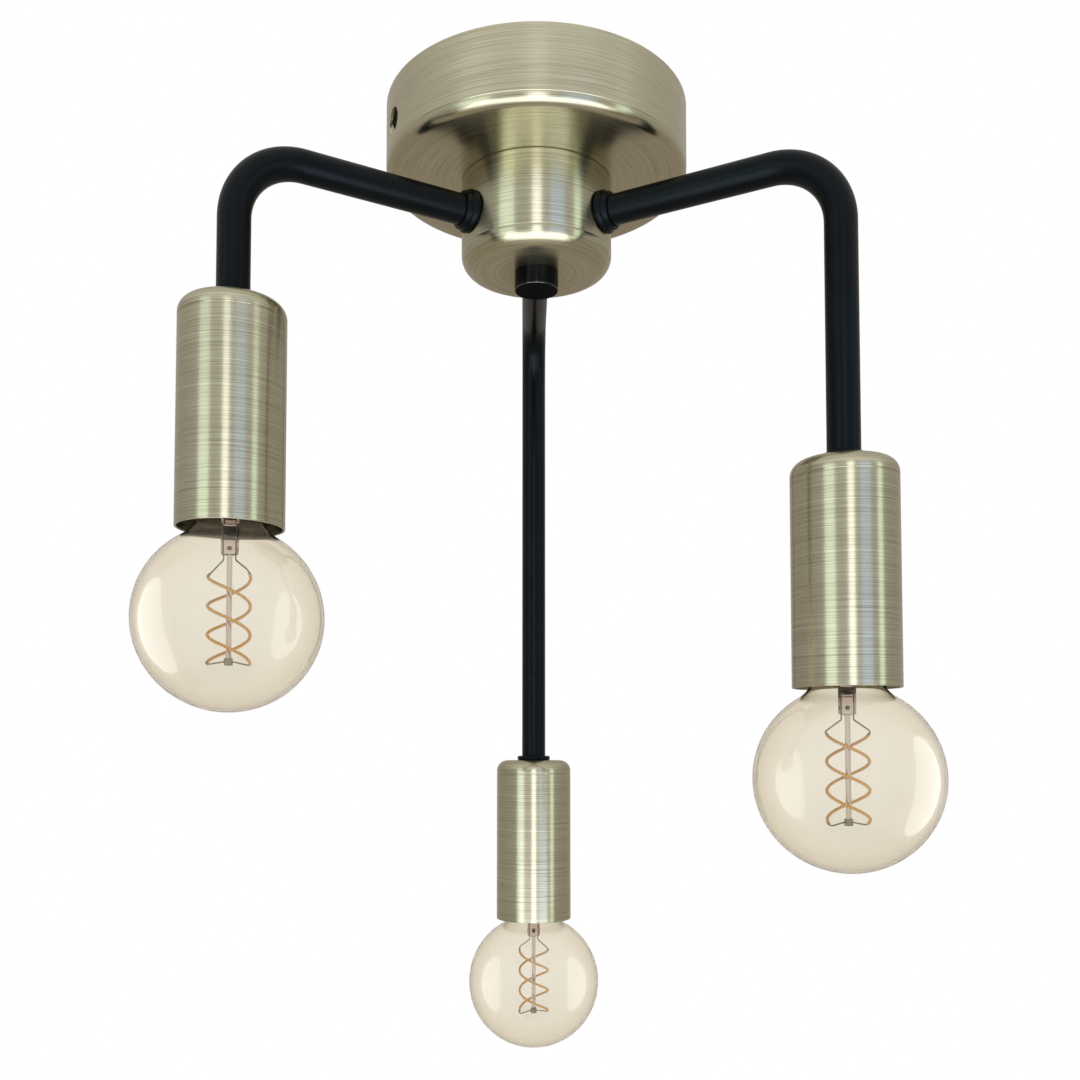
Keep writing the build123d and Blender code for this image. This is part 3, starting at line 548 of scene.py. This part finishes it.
# hub: a cup that hangs under the canopy, rounded below, with the rod's hole in its floor
hubShape = {"wall": 1.5, "bottomRound": 8.0, "topRound": 0.5, "holeRadius": 5.3, "edge": 0.2, "line": 0.1,
            "lineHalf": 0.2, "lineRise": 0.5, "segments": 256, "roundSteps": 20}


def hubProfile(h):
    radius, low, high = hubRadius / mm, hubLow[2] / mm, hubHigh[2] / mm
    inside, floor, line = radius - h["wall"], low + h["wall"], low + h["bottomRound"] + h["lineRise"]
    return roundCorners([
        (radius, high, h["topRound"]), (radius, line + h["lineHalf"]), (radius - h["line"], line),
        (radius, line - h["lineHalf"]), (radius, low, h["bottomRound"]), (h["holeRadius"], low, h["edge"]),
        (h["holeRadius"], floor, h["edge"]), (inside, floor, h["bottomRound"] - h["wall"]),
        (inside, high)], h["roundSteps"])


hub = lathe("hubShell", hubProfile(hubShape), (0, 0, 0), hubShape["segments"])
dress(hub, brass, "fixture", "turned_brass", "hub")

# knob: gloss black, with a recess for its washer and a blind bore for the rod
knobShape = {"edge": 0.6, "topEdge": 0.3, "recessRadius": 8.6, "recess": 0.9, "recessEdge": 0.15,
             "boreRadius": 5.1, "boreEdge": 0.2, "floor": 2.0, "flatMargin": 1.6,
             "flatRings": (7.0, 4.0, 1.5, 0), "segments": 160}


def knobProfile(k):
    radius, low, high = (knobHigh[0] - knobLow[0]) / 2 / mm, knobLow[2] / mm, knobHigh[2] / mm
    floor, seat = low + k["floor"], high - k["recess"]
    wall = roundCorners([
        (k["boreRadius"], floor), (k["boreRadius"], seat, k["boreEdge"]), (k["recessRadius"], seat),
        (k["recessRadius"], high, k["recessEdge"]), (radius, high, k["topEdge"]), (radius, low, k["edge"]),
        (radius - k["flatMargin"], low)])
    return np.vstack([[(0, floor)], wall, [(r, low) for r in k["flatRings"]]])


knob = lathe("knobBody", knobProfile(knobShape), (0, 0, 0), knobShape["segments"], closed=False)
dress(knob, enamel, "knob", "black_knob", "finial_knob")

# threaded rod: a fine metric thread turned on a 10 mm rod, one millimetre a turn
rodShape = {"radius": 5.0, "depth": 0.5, "pitch": 1.0, "lead": 0.6, "rowsPerTurn": 8, "segments": 40}
rodLow, rodHigh = (box[2] / mm for box in boxOf("threaded_rod"))


def rodProfile(s):
    rows = np.linspace(rodLow + s["lead"], rodHigh - s["lead"], int((rodHigh - rodLow) * s["rowsPerTurn"]))
    end = s["radius"] - s["lead"]
    return [(0, rodLow), (end, rodLow)] + [(s["radius"], z) for z in rows] + [(end, rodHigh), (0, rodHigh)]


def cutThread(points):
    # the radius falls below the crest by depth times a triangle wave of height over pitch less the turn
    s = rodShape
    x, y, z = np.moveaxis(points, -1, 0)
    r = np.hypot(x, y)
    phase = (z / s["pitch"] - np.arctan2(y, x) / math.tau) % 1
    wave = np.abs(phase - 0.5) * 2
    fade = np.clip(np.minimum(z - rodLow, rodHigh - z) / s["lead"], 0, 1)
    cut = np.where(r > s["radius"] * 0.9, s["depth"] * wave * fade, 0)
    scale = np.where(r > 0, (r - cut) / np.maximum(r, 1e-9), 1)
    return np.stack([x * scale, y * scale, z], -1)


rod = lathe("rodWithThread", rodProfile(rodShape), (0, 0, 0), rodShape["segments"], closed=False,
            shape=cutThread, sharpAngle=60)
dress(rod, zinc, "fixture", "zinc_steel", "threaded_rod")
print("canopy, hub, knob and rod made")

# arms: bent tube from the hub's side to the top of each cup
armShape = {"radius": 7.25, "bore": 6.05, "bend": 31.0, "segments": 64, "levelSteps": 5, "bendSteps": 40,
            "dropSteps": 6}
# collar against the hub: two beads, the larger one first
collarShape = {"inner": 7.35, "bigRadius": 10.25, "bigLength": 3.0, "smallRadius": 9.05, "smallLength": 2.4,
               "round": 1.45, "smallRound": 1.1, "edge": 0.2, "gap": 0.1, "segments": 96}
# flat ring on top of the cup
ringShape = {"inner": 7.35, "outer": 10.15, "height": 2.8, "round": 1.1, "edge": 0.2, "segments": 96}
# socket cup: deep drawn, rounded shoulder, one fine groove under it
cupShape = {"wall": 1.0, "shoulder": 6.499, "insideRound": 5.5, "holeRadius": 5.3, "edge": 0.2,
            "rimRound": 0.3, "grooveDrop": 8.0, "groove": 0.28, "firstRow": 8, "lastRowDrop": 6, "rows": 8,
            "roundSteps": 16, "segments": 224}


def armPath(a, side, out):
    # level out from the hub, a quarter circle down, then straight down to the cup's top
    bend = a["bend"] * mm
    level = np.linspace(hubRadius, reach[side] - bend, a["levelSteps"] + 1)[:-1]
    drop = np.linspace(armHeight - bend, cupTop[side], a["dropSteps"] + 1)[1:]
    theta = np.linspace(math.pi / 2, 0, a["bendSteps"] + 1)
    bendOut = reach[side] - bend + bend * np.cos(theta)
    distance = np.concatenate([level, bendOut, np.full(len(drop), reach[side])])
    height = np.concatenate([np.full(len(level), armHeight), armHeight - bend + bend * np.sin(theta), drop])
    return distance[:, None] * out + height[:, None] * up


def onHub(out, sideways, gap):
    # moves points along the arm's direction until they lie on the hub's round wall
    def place(points):
        flat = points @ sideways
        along = np.sqrt((hubRadius + gap) ** 2 - flat ** 2)
        return along[..., None] * out + flat[..., None] * sideways + points[..., 2:3] * up
    return place


def saddle(c, out, sideways):
    # the lathe's axis is laid along the arm; the hub's end follows its wall and the other end is square
    def place(points):
        spot = (points[..., 0:1] * sideways + points[..., 1:2] * up) * mm
        depth = points[..., 2:3] * mm
        square = spot + (hubRadius + depth) * out
        hugging = onHub(out, sideways, c["gap"] * mm)(spot) + depth * out
        share = np.clip(points[..., 2:3] / (c["bigLength"] + c["smallLength"]), 0, 1)
        return (hugging * (1 - share) + square * share) / mm
    return place


def collarProfile(c):
    length = c["bigLength"] + c["smallLength"]
    return roundCorners([
        (c["inner"], 0), (c["inner"], length, c["edge"]), (c["smallRadius"], length, c["smallRound"]),
        (c["smallRadius"], c["bigLength"], c["edge"]), (c["bigRadius"], c["bigLength"], c["round"]),
        (c["bigRadius"], 0, c["round"])])


def ringProfile(r):
    return roundCorners([(r["inner"], 0), (r["inner"], r["height"], r["edge"]),
                         (r["outer"], r["height"], r["round"]), (r["outer"], 0, r["round"])])


def cupProfile(s, radius, tall):
    # up the outer wall over the groove and the shoulder, in to the hole, and down the inner wall
    inside, roof, line = radius - s["wall"], tall - s["wall"], tall - s["grooveDrop"]
    deep = s["groove"]
    part = deep * 0.7
    rows = [(radius, z) for z in np.linspace(s["firstRow"], line - s["lastRowDrop"], s["rows"])]
    groove = [(radius, line - deep), (radius - part, line - part), (radius - deep, line),
              (radius - part, line + part), (radius, line + deep)]
    top = [(radius, tall, s["shoulder"]), (s["holeRadius"], tall, s["edge"]),
           (s["holeRadius"], roof, s["edge"]), (inside, roof, s["insideRound"])]
    rim, innerRim = [(radius, 0, s["rimRound"])], [(inside, 0, s["rimRound"])]
    return roundCorners(rim + rows + groove + top + innerRim, s["roundSteps"])


for side in sides:
    out = np.array([math.cos(azimuth[side]), math.sin(azimuth[side]), 0])
    sideways = np.array([-out[1], out[0], 0])
    a = armShape
    arm = tubeAlong(f"armTube_{side}", armPath(a, side, out), a["radius"] * mm, a["segments"], a["bore"] * mm,
                    onHub(out, sideways, collarShape["gap"] * mm))
    dress(arm, powderCoat, "fixture", "black_powder_coat", f"arm_{side}")
    collar = lathe(f"hubBeads_{side}", collarProfile(collarShape), (0, 0, armHeight),
                   collarShape["segments"], shape=saddle(collarShape, out, sideways))
    dress(collar, powderCoat, "fixture", "black_powder_coat", f"hub_collar_{side}")
    ring = lathe(f"cupTopRing_{side}", ringProfile(ringShape), (*cupAxis[side], cupTop[side]),
                 ringShape["segments"])
    dress(ring, powderCoat, "fixture", "black_powder_coat", f"cup_ring_{side}")
    low, high = boxOf(f"socket_cup_{side}")
    profile = cupProfile(cupShape, (high[0] - low[0]) / 2 / mm, (high[2] - low[2]) / mm)
    cup = lathe(f"cupShell_{side}", profile, (*cupAxis[side], cupRim[side]), cupShape["segments"])
    dress(cup, brass, "fixture", "turned_brass", f"socket_cup_{side}")
print("arms, collars and cups made")

# lamp: round globe, narrow neck, threaded cap and a wound filament on a glass stem; heights in mm from the
# cup's rim
lampShape = {"globeRadius": 40.0, "globeDrop": 38.5, "glass": 0.9, "neckRadius": 13.5, "neckLow": 8.0,
             "neckTop": 12.8, "neckStep": 1.2, "neckInCap": 3.2, "neckRound": 0.5, "stepRound": 0.25,
             "globeSteps": 72, "neckSteps": 16, "segments": 256}
stemShape = {"flareRadius": 11.0, "flareHeight": 10.0, "flarePower": 2.2, "radius": 3.85, "wall": 0.9,
             "corner": 1.2, "hollowLow": 0.2, "pinchThickness": 1.6, "pinchDrop": 11.4, "pinchHeight": 9.0,
             "pinchFade": 3.0, "footFade": 0.9, "rodRadius": 1.15, "rodLow": -58.5, "rodFlare": 0.5,
             "rodFlareHeight": 0.8, "flareRows": 15, "bodyRows": 4, "pinchRows": 10, "rodRows": 12,
             "roundSteps": 6, "segments": 72}
leadShape = {"points": ((1.6, 12.0), (2.6, 0.6), (2.6, -11.3)), "radius": 0.3, "segments": 12,
             "bubble": -8.4, "bubbleRadius": 1.0, "bubbleSegments": 32}
windingShape = {"radius": 8.8, "height": 37.0, "turns": 1.5, "strand": 0.68, "steps": 180, "segments": 14}
capShape = {"low": 13.0, "skirt": 3.5, "middle": 12.7, "wave": 0.5, "pitch": 3.629, "turns": 4.5, "fade": 0.4,
            "roll": 1.9, "rollHeight": 2.2, "sheet": 0.35, "rowsPerTurn": 14, "segments": 96}


def glassProfile(g):
    # outer wall from the bottom up, then the inner one back down: globe arc, hollow arc, straight neck, step
    rise = g["neckLow"] + g["globeDrop"]
    globe, neck = g["globeRadius"], g["neckRadius"]
    hollow = (neck ** 2 + rise ** 2 - globe ** 2) / (2 * (globe - neck))
    centre = neck + hollow
    touch = math.degrees(math.atan2(rise, centre))
    walls = []
    for shift, stepRound in ((0, 0.0), (g["glass"], g["stepRound"])):
        bowl = arcPoints((0, -g["globeDrop"]), globe - shift, -90, touch, g["globeSteps"])
        bowl[0, 0] = 0
        neckArc = arcPoints((centre, g["neckLow"]), hollow + shift, 180 + touch, 180, g["neckSteps"])[1:]
        wide, top = neck - shift, g["neckTop"] - shift
        narrow = wide - g["neckStep"]
        step = roundCorners([(wide, g["neckLow"] + 1), (wide, top, g["neckRound"]), (narrow, top, stepRound),
                             (narrow, g["neckTop"] + g["neckInCap"])], 5)
        walls.append(np.vstack([bowl, neckArc, step]))
    return np.vstack([walls[0], walls[1][::-1]])


def stemProfile(s, top):
    # a flare drawn down to a tube, hollow inside, then the solid pinch and the long rod
    flareLow, pinchLow = top - s["flareHeight"], -s["pinchDrop"]
    pinchTop, tipTop = pinchLow + s["pinchHeight"], s["rodLow"] + s["rodRadius"]
    radius, hollow, corner = s["radius"], s["radius"] - s["wall"], s["corner"]
    t = np.linspace(0, 1, s["flareRows"])
    outer = np.stack([radius + (s["flareRadius"] - radius) * (1 - t) ** s["flarePower"],
                      top - s["flareHeight"] * t], -1)
    inner = outer - np.array([s["wall"], 0])
    foot = [(0, s["hollowLow"]), (hollow - corner, s["hollowLow"]), (hollow, corner)]
    body = [(radius, z) for z in np.linspace(flareLow - 1, pinchTop + 1, s["bodyRows"])]
    pinch = [(radius, z) for z in np.linspace(pinchTop, pinchLow + corner, s["pinchRows"])]
    end = arcPoints((radius - corner, pinchLow + corner), corner, 0, -90, s["roundSteps"])
    rod = [(s["rodRadius"] + s["rodFlare"], pinchLow), (s["rodRadius"], pinchLow - s["rodFlareHeight"])]
    rod += [(s["rodRadius"], z) for z in np.linspace(pinchLow - 3, tipTop, s["rodRows"])]
    tip = arcPoints((0, tipTop), s["rodRadius"], 0, -90, s["roundSteps"])
    tip[-1, 0] = 0
    return np.vstack([foot, inner[::-1], outer, body, pinch, end, rod, tip])


def pressFlat(s):
    # between the pinch's ends the round section is pressed to pinchThickness in y
    low = -s["pinchDrop"]
    top = low + s["pinchHeight"]
    squeeze = 1 - s["pinchThickness"] / s["radius"]

    def press(points):
        x, y, z = np.moveaxis(points, -1, 0)
        fromTop = np.clip((top + s["pinchFade"] / 2 - z) / s["pinchFade"], 0, 1)
        amount = fromTop * np.clip((z - low + s["footFade"]) / s["footFade"], 0, 1)
        amount = amount * amount * (3 - 2 * amount) * (np.hypot(x, y) > s["rodRadius"] * 1.1)
        return np.stack([x, y * (1 - amount * squeeze), z], -1)
    return press


def threadSpan(c):
    low = c["low"] + c["skirt"]
    return low, low + c["turns"] * c["pitch"]


def capProfile(c):
    # skirt, rolled thread, taper; then the same wall back down on the inside
    threadLow, threadTop = threadSpan(c)
    rows = np.linspace(threadLow, threadTop, int(c["turns"] * c["rowsPerTurn"]) + 1)
    outer = [(c["middle"], c["low"]), (c["middle"], threadLow - 1)] + [(c["middle"], z) for z in rows]
    outer += [(c["middle"] - c["roll"], threadTop + c["rollHeight"])]
    return outer + [(r - c["sheet"], z) for r, z in outer[::-1]]


def rolledThread(c):
    # the wall swings by wave times the cosine of height over pitch less the turn, fading out at both ends
    threadLow, threadTop = threadSpan(c)

    def roll(points):
        x, y, z = np.moveaxis(points, -1, 0)
        r = np.hypot(x, y)
        fade = np.clip(np.minimum(z - threadLow, threadTop - z) / (c["pitch"] * c["fade"]), 0, 1)
        swing = c["wave"] * fade * np.cos(math.tau * (z / c["pitch"]) - np.arctan2(y, x))
        scale = (r + swing) / r
        return np.stack([x * scale, y * scale, z], -1)
    return roll


def strandPath(w, drop, phase):
    # a helix about the rod that falls as it turns, with a short straight run at each end
    turn = np.linspace(0, w["turns"], w["steps"] + 1)
    a = math.tau * turn + phase
    z = -drop + w["height"] / 2 - w["height"] * turn / w["turns"]
    helix = np.stack([w["radius"] * np.cos(a), w["radius"] * np.sin(a), z], -1)
    first, last = helix[0] - helix[1], helix[-1] - helix[-2]
    run = w["strand"] * 2 * np.linspace(1, 0.25, 4)[:, None]
    start = helix[0] + first / np.linalg.norm(first) * run
    end = helix[-1] + last / np.linalg.norm(last) * run[::-1]
    return np.vstack([start, helix, end])


stemTop = lampShape["neckTop"] + lampShape["neckInCap"]
for side in sides:
    rim = np.array([*cupAxis[side], cupRim[side]])
    body = f"bulb_{side}"
    glass = lathe(f"lampGlobe_{side}", glassProfile(lampShape), rim, lampShape["segments"], closed=False,
                  sharpAngle=50)
    dress(glass, amberGlass, body, "amber_glass", f"bulb_glass_{side}")
    stem = lathe(f"lampStem_{side}", stemProfile(stemShape, stemTop), rim, stemShape["segments"],
                 closed=False, shape=pressFlat(stemShape), sharpAngle=60)
    dress(stem, clearGlass, body, "clear_glass", f"bulb_stem_{side}")
    cap = lathe(f"lampCap_{side}", capProfile(capShape), rim, capShape["segments"],
                shape=rolledThread(capShape), sharpAngle=60)
    dress(cap, nickel, body, "nickel_brass", f"bulb_cap_{side}")
    w = windingShape
    for number, phase in ((1, 0.0), (2, math.pi)):
        path = strandPath(w, lampShape["globeDrop"], phase) * mm + rim
        strand = tubeAlong(f"filamentStrand_{side}_{number}", path, w["strand"] * mm, w["segments"])
        dress(strand, phosphor, body, "led_filament", f"bulb_filaments_{side}")
    # the leads' run inside the stem, its bend cut short, and the bubble left where the lamp was pumped out
    s = leadShape
    for sign, hand in ((1, "right"), (-1, "left")):
        top, bend, foot = (np.array([sign * x, 0, z]) * mm + rim for x, z in s["points"])
        runs = [top + (bend - top) * share for share in np.linspace(0, 0.9, 5)]
        runs += [bend + (foot - bend) * share for share in np.linspace(0.06, 1, 8)]
        wire = tubeAlong(f"stemLead_{side}_{hand}", runs, s["radius"] * mm, s["segments"])
        dress(wire, nickelWire, body, "nickel_wire")
    ball = arcPoints((0, s["bubble"]), s["bubbleRadius"], -90, 90, s["bubbleSegments"] // 2)
    bubble = lathe(f"pumpBubble_{side}", ball, rim, s["bubbleSegments"], closed=False)
    # the bubble's near-black glass is painted shade
    dress(bubble, darkBubble, body, "clear_glass")
    paint(nickelWire, f"bulb_wires_{side}")
    paint(capGlass, f"bulb_insulator_{side}")
    paint(nickel, f"bulb_contact_{side}", f"screw_shell_{side}", f"centre_contact_{side}")
    paint(thermoplastic, f"lampholder_{side}")
    paint(sheath, f"arm_cable_{side}")
paint(zinc, "mounting_bracket", "finial_washer", "lamp_nuts", "hub_nipples", "cup_nipples", "earth_screw",
      "terminal_screws")
paint(plainBrass, "terminal_inserts")
paint(polyamide, "terminal_block")
print("lamps made, CAD pieces painted")

# white studio: background and floor are white to the camera and through glass, a warm grey in metal, and
# plain light on the rest; levels are strengths, and high is added up above, ahead of the light
studioLevels = {"diffuse": 0.5, "front": 0.66, "back": 0.46, "floor": 0.46, "high": 0.56, "highFrom": 0.25,
                "highTo": 0.6, "warm": "#fff3e6", "floorWarm": "#fff1e0"}
# the floor in metres, and millimetres from the ceiling patch to the canopy's wall and rim
studioShape = {"floorHeight": -1.9, "floorHalf": 6.0, "patchMargin": 0.6, "patchDrop": 0.5, "segments": 96}


def rayKinds(tree):
    # glossy rays, rays that are seen straight or through glass, and glossy rays that no glass bent
    path = addNode(tree, "LightPath")
    glossy, camera, bent = (path.outputs[f"Is {kind} Ray"] for kind in ("Glossy", "Camera", "Transmission"))
    seen = addNode(tree, "Math", {0: camera, 1: bent}, operation="MAXIMUM")
    mirrored = addNode(tree, "Math", {0: glossy, 1: seen}, operation="SUBTRACT", use_clamp=True)
    return glossy, seen, mirrored


def studioWorld(level):
    world = bpy.data.worlds.new("studio")
    world.use_nodes = True
    tree = world.node_tree
    tree.nodes.clear()
    glossy, seen, mirrored = rayKinds(tree)
    direction = addNode(tree, "TexCoord").outputs["Generated"]
    split = addNode(tree, "SeparateXYZ", {"Vector": direction})
    behind = addNode(tree, "MapRange", {"Value": split.outputs["Y"], "From Min": -1.0})
    ahead = addNode(tree, "Math", {0: 1.0, 1: behind}, operation="SUBTRACT")
    depth = addNode(tree, "MapRange", {"Value": behind, "To Min": level["front"], "To Max": level["back"]})
    rise = addNode(tree, "MapRange", {"Value": split.outputs["Z"], "From Min": level["highFrom"],
                                      "From Max": level["highTo"], "To Max": level["high"]},
                   interpolation_type="SMOOTHSTEP")
    metal = addNode(tree, "Math", {0: rise, 1: ahead, 2: depth}, operation="MULTIPLY_ADD")
    unseen = addNode(tree, "Mix", {"Factor": glossy, "A": level["diffuse"], "B": metal}, data_type="FLOAT")
    strength = addNode(tree, "Mix", {"Factor": seen, "A": unseen, "B": 1.0}, data_type="FLOAT")
    warmth = addNode(tree, "Math", {0: mirrored, 1: behind}, operation="MULTIPLY")
    tint = addNode(tree, "ValToRGB", {"Fac": warmth},
                   [(0.0, "#ffffff"), (0.3, "#ffffff"), (1.0, level["warm"])])
    background = addNode(tree, "Background", {"Color": tint, "Strength": strength})
    addNode(tree, "OutputWorld", {"Surface": background})
    scene.world = world


def stageSheet(name, points, faces, material):
    # a flat piece of the studio from a grid of points in metres
    mesh = bpy.data.meshes.new(name)
    mesh.from_pydata(points.reshape(-1, 3).tolist(), [], faces.tolist())
    mesh.materials.append(material)
    sheet = bpy.data.objects.new(name, mesh)
    scene.collection.objects.link(sheet)
    return sheet


# pale floor well below the light, where its shadow falls far out of the picture
def studioFloor(height, half, level):
    material, tree = newMaterial("paleFloor")
    glossy, seen, mirrored = rayKinds(tree)
    unseen = addNode(tree, "Mix", {"Factor": glossy, "A": 0.0, "B": level["floor"]}, data_type="FLOAT")
    strength = addNode(tree, "Mix", {"Factor": seen, "A": unseen, "B": 1.0}, data_type="FLOAT")
    tint = addNode(tree, "ValToRGB", {"Fac": mirrored}, [(0.0, "#ffffff"), (1.0, level["floorWarm"])])
    glow = addNode(tree, "Emission", {"Color": tint, "Strength": strength})
    matt = addNode(tree, "BsdfDiffuse", {"Color": "#dcdad6"})
    share = addNode(tree, "Math", {0: seen, 1: glossy}, operation="MAXIMUM")
    mix = addNode(tree, "MixShader", {0: share, 1: matt, 2: glow})
    addNode(tree, "OutputMaterial", {"Surface": mix})
    u = np.linspace(-half, half, 9)
    x, y = np.meshgrid(u, u, indexing="ij")
    faces = gridFaces(len(u), len(u), False, False)[:, ::-1]
    floor = stageSheet("studioFloor", np.stack([x, y, height + 0 * x], -1), faces, material)


# patch of ceiling over the canopy with a faint glow of painted shade: a camera below sees it dark through the
# cable hole, and it keeps the lamps' light out of the canopy; from above it is clear
def ceilingPatch(radius, height):
    # point (i, j) = (r_i cos a_j, r_i sin a_j, height), which makes faces that look down
    material, tree = newMaterial("paintedShadeCeiling")
    path = addNode(tree, "LightPath")
    above = addNode(tree, "NewGeometry").outputs["Backfacing"]
    under = addNode(tree, "Math", {0: 1.0, 1: above}, operation="SUBTRACT")
    camera, shadow = path.outputs["Is Camera Ray"], path.outputs["Is Shadow Ray"]
    share = addNode(tree, "Math", {0: camera, 1: under, 2: shadow}, operation="MULTIPLY_ADD", use_clamp=True)
    clear = addNode(tree, "BsdfTransparent")
    # the dim glow that a camera below sees is painted shade, standing for the canopy's dark inside
    paintedShade = addNode(tree, "Emission", {"Color": "#1c1b19", "Strength": 1.0})
    mix = addNode(tree, "MixShader", {0: share, 1: clear, 2: paintedShade})
    addNode(tree, "OutputMaterial", {"Surface": mix})
    turn = np.linspace(0, math.tau, studioShape["segments"], endpoint=False)
    r, a = np.meshgrid(np.linspace(0, radius, 3), turn, indexing="ij")
    points = np.stack([r * np.cos(a), r * np.sin(a), height + 0 * a], -1)
    patch = stageSheet("ceilingPatch", points, gridFaces(*r.shape, False, True), material)


studioWorld(studioLevels)
studioFloor(studioShape["floorHeight"], studioShape["floorHalf"], studioLevels)
ceilingPatch(canopyRadius - studioShape["patchMargin"] * mm, canopyHigh[2] - studioShape["patchDrop"] * mm)

# soft strips round the camera side, a box below it, and two large side boxes that only the lamps' glass
# takes; azimuth and rise are degrees from the camera's direction and from level, sizes are in metres, and
# level is about the radiance of the lamp's face
strip = {"rise": -6, "distance": 2.4, "length": 2.6}
sideBox = {"rise": -8, "distance": 1.6, "width": 1.3, "length": 2.3, "level": 2.2, "tint": "#ffffff"}
lamps = {
    "leftStrip": {**strip, "azimuth": -44, "width": 1.0, "level": 1.4, "tint": "#dcf3f2"},
    "frontStrip": {**strip, "azimuth": 0, "width": 0.55, "level": 2.5, "tint": "#e9eeff"},
    "coolStrip": {**strip, "azimuth": 29, "width": 0.95, "level": 0.9, "tint": "#8ab4ff"},
    "rightStrip": {**strip, "azimuth": 61, "width": 0.5, "level": 1.45, "tint": "#d9f4ee"},
    "lowBox": {"azimuth": 0, "rise": -45, "distance": 1.5, "width": 3.0, "length": 1.3, "level": 3.2,
               "tint": "#e6efff"},
    "glassLeft": {**sideBox, "azimuth": -87},
    "glassRight": {**sideBox, "azimuth": 87},
}
lampAim = Vector((0, 0, -0.25))
glassOnly = bpy.data.collections.new("lampGlass")
allButGlass = bpy.data.collections.new("allButLampGlass")
for thing in list(scene.objects):
    if thing.type == "MESH":
        (glassOnly if thing.name.startswith("lampGlobe") else allButGlass).objects.link(thing)
for lampName, l in lamps.items():
    forGlass = lampName.startswith("glass")
    data = bpy.data.lights.new(lampName, "AREA")
    data.shape = "ELLIPSE" if forGlass else "RECTANGLE"
    data.size, data.size_y = l["width"], l["length"]
    data.energy = l["level"] * math.pi * l["width"] * l["length"]
    data.color = linearColour(l["tint"])[:3]
    lamp = bpy.data.objects.new(lampName, data)
    turn, rise = math.radians(l["azimuth"]), math.radians(l["rise"])
    direction = Vector((math.sin(turn) * math.cos(rise), -math.cos(turn) * math.cos(rise), math.sin(rise)))
    lamp.location = lampAim + l["distance"] * direction
    lamp.rotation_euler = (-direction).to_track_quat("-Z", "Y").to_euler()
    lamp.light_linking.receiver_collection = glassOnly if forGlass else allButGlass
    lamp.visible_camera, lamp.visible_transmission = False, False
    scene.collection.objects.link(lamp)

scene.view_settings.view_transform = "Standard"
print("studio set")
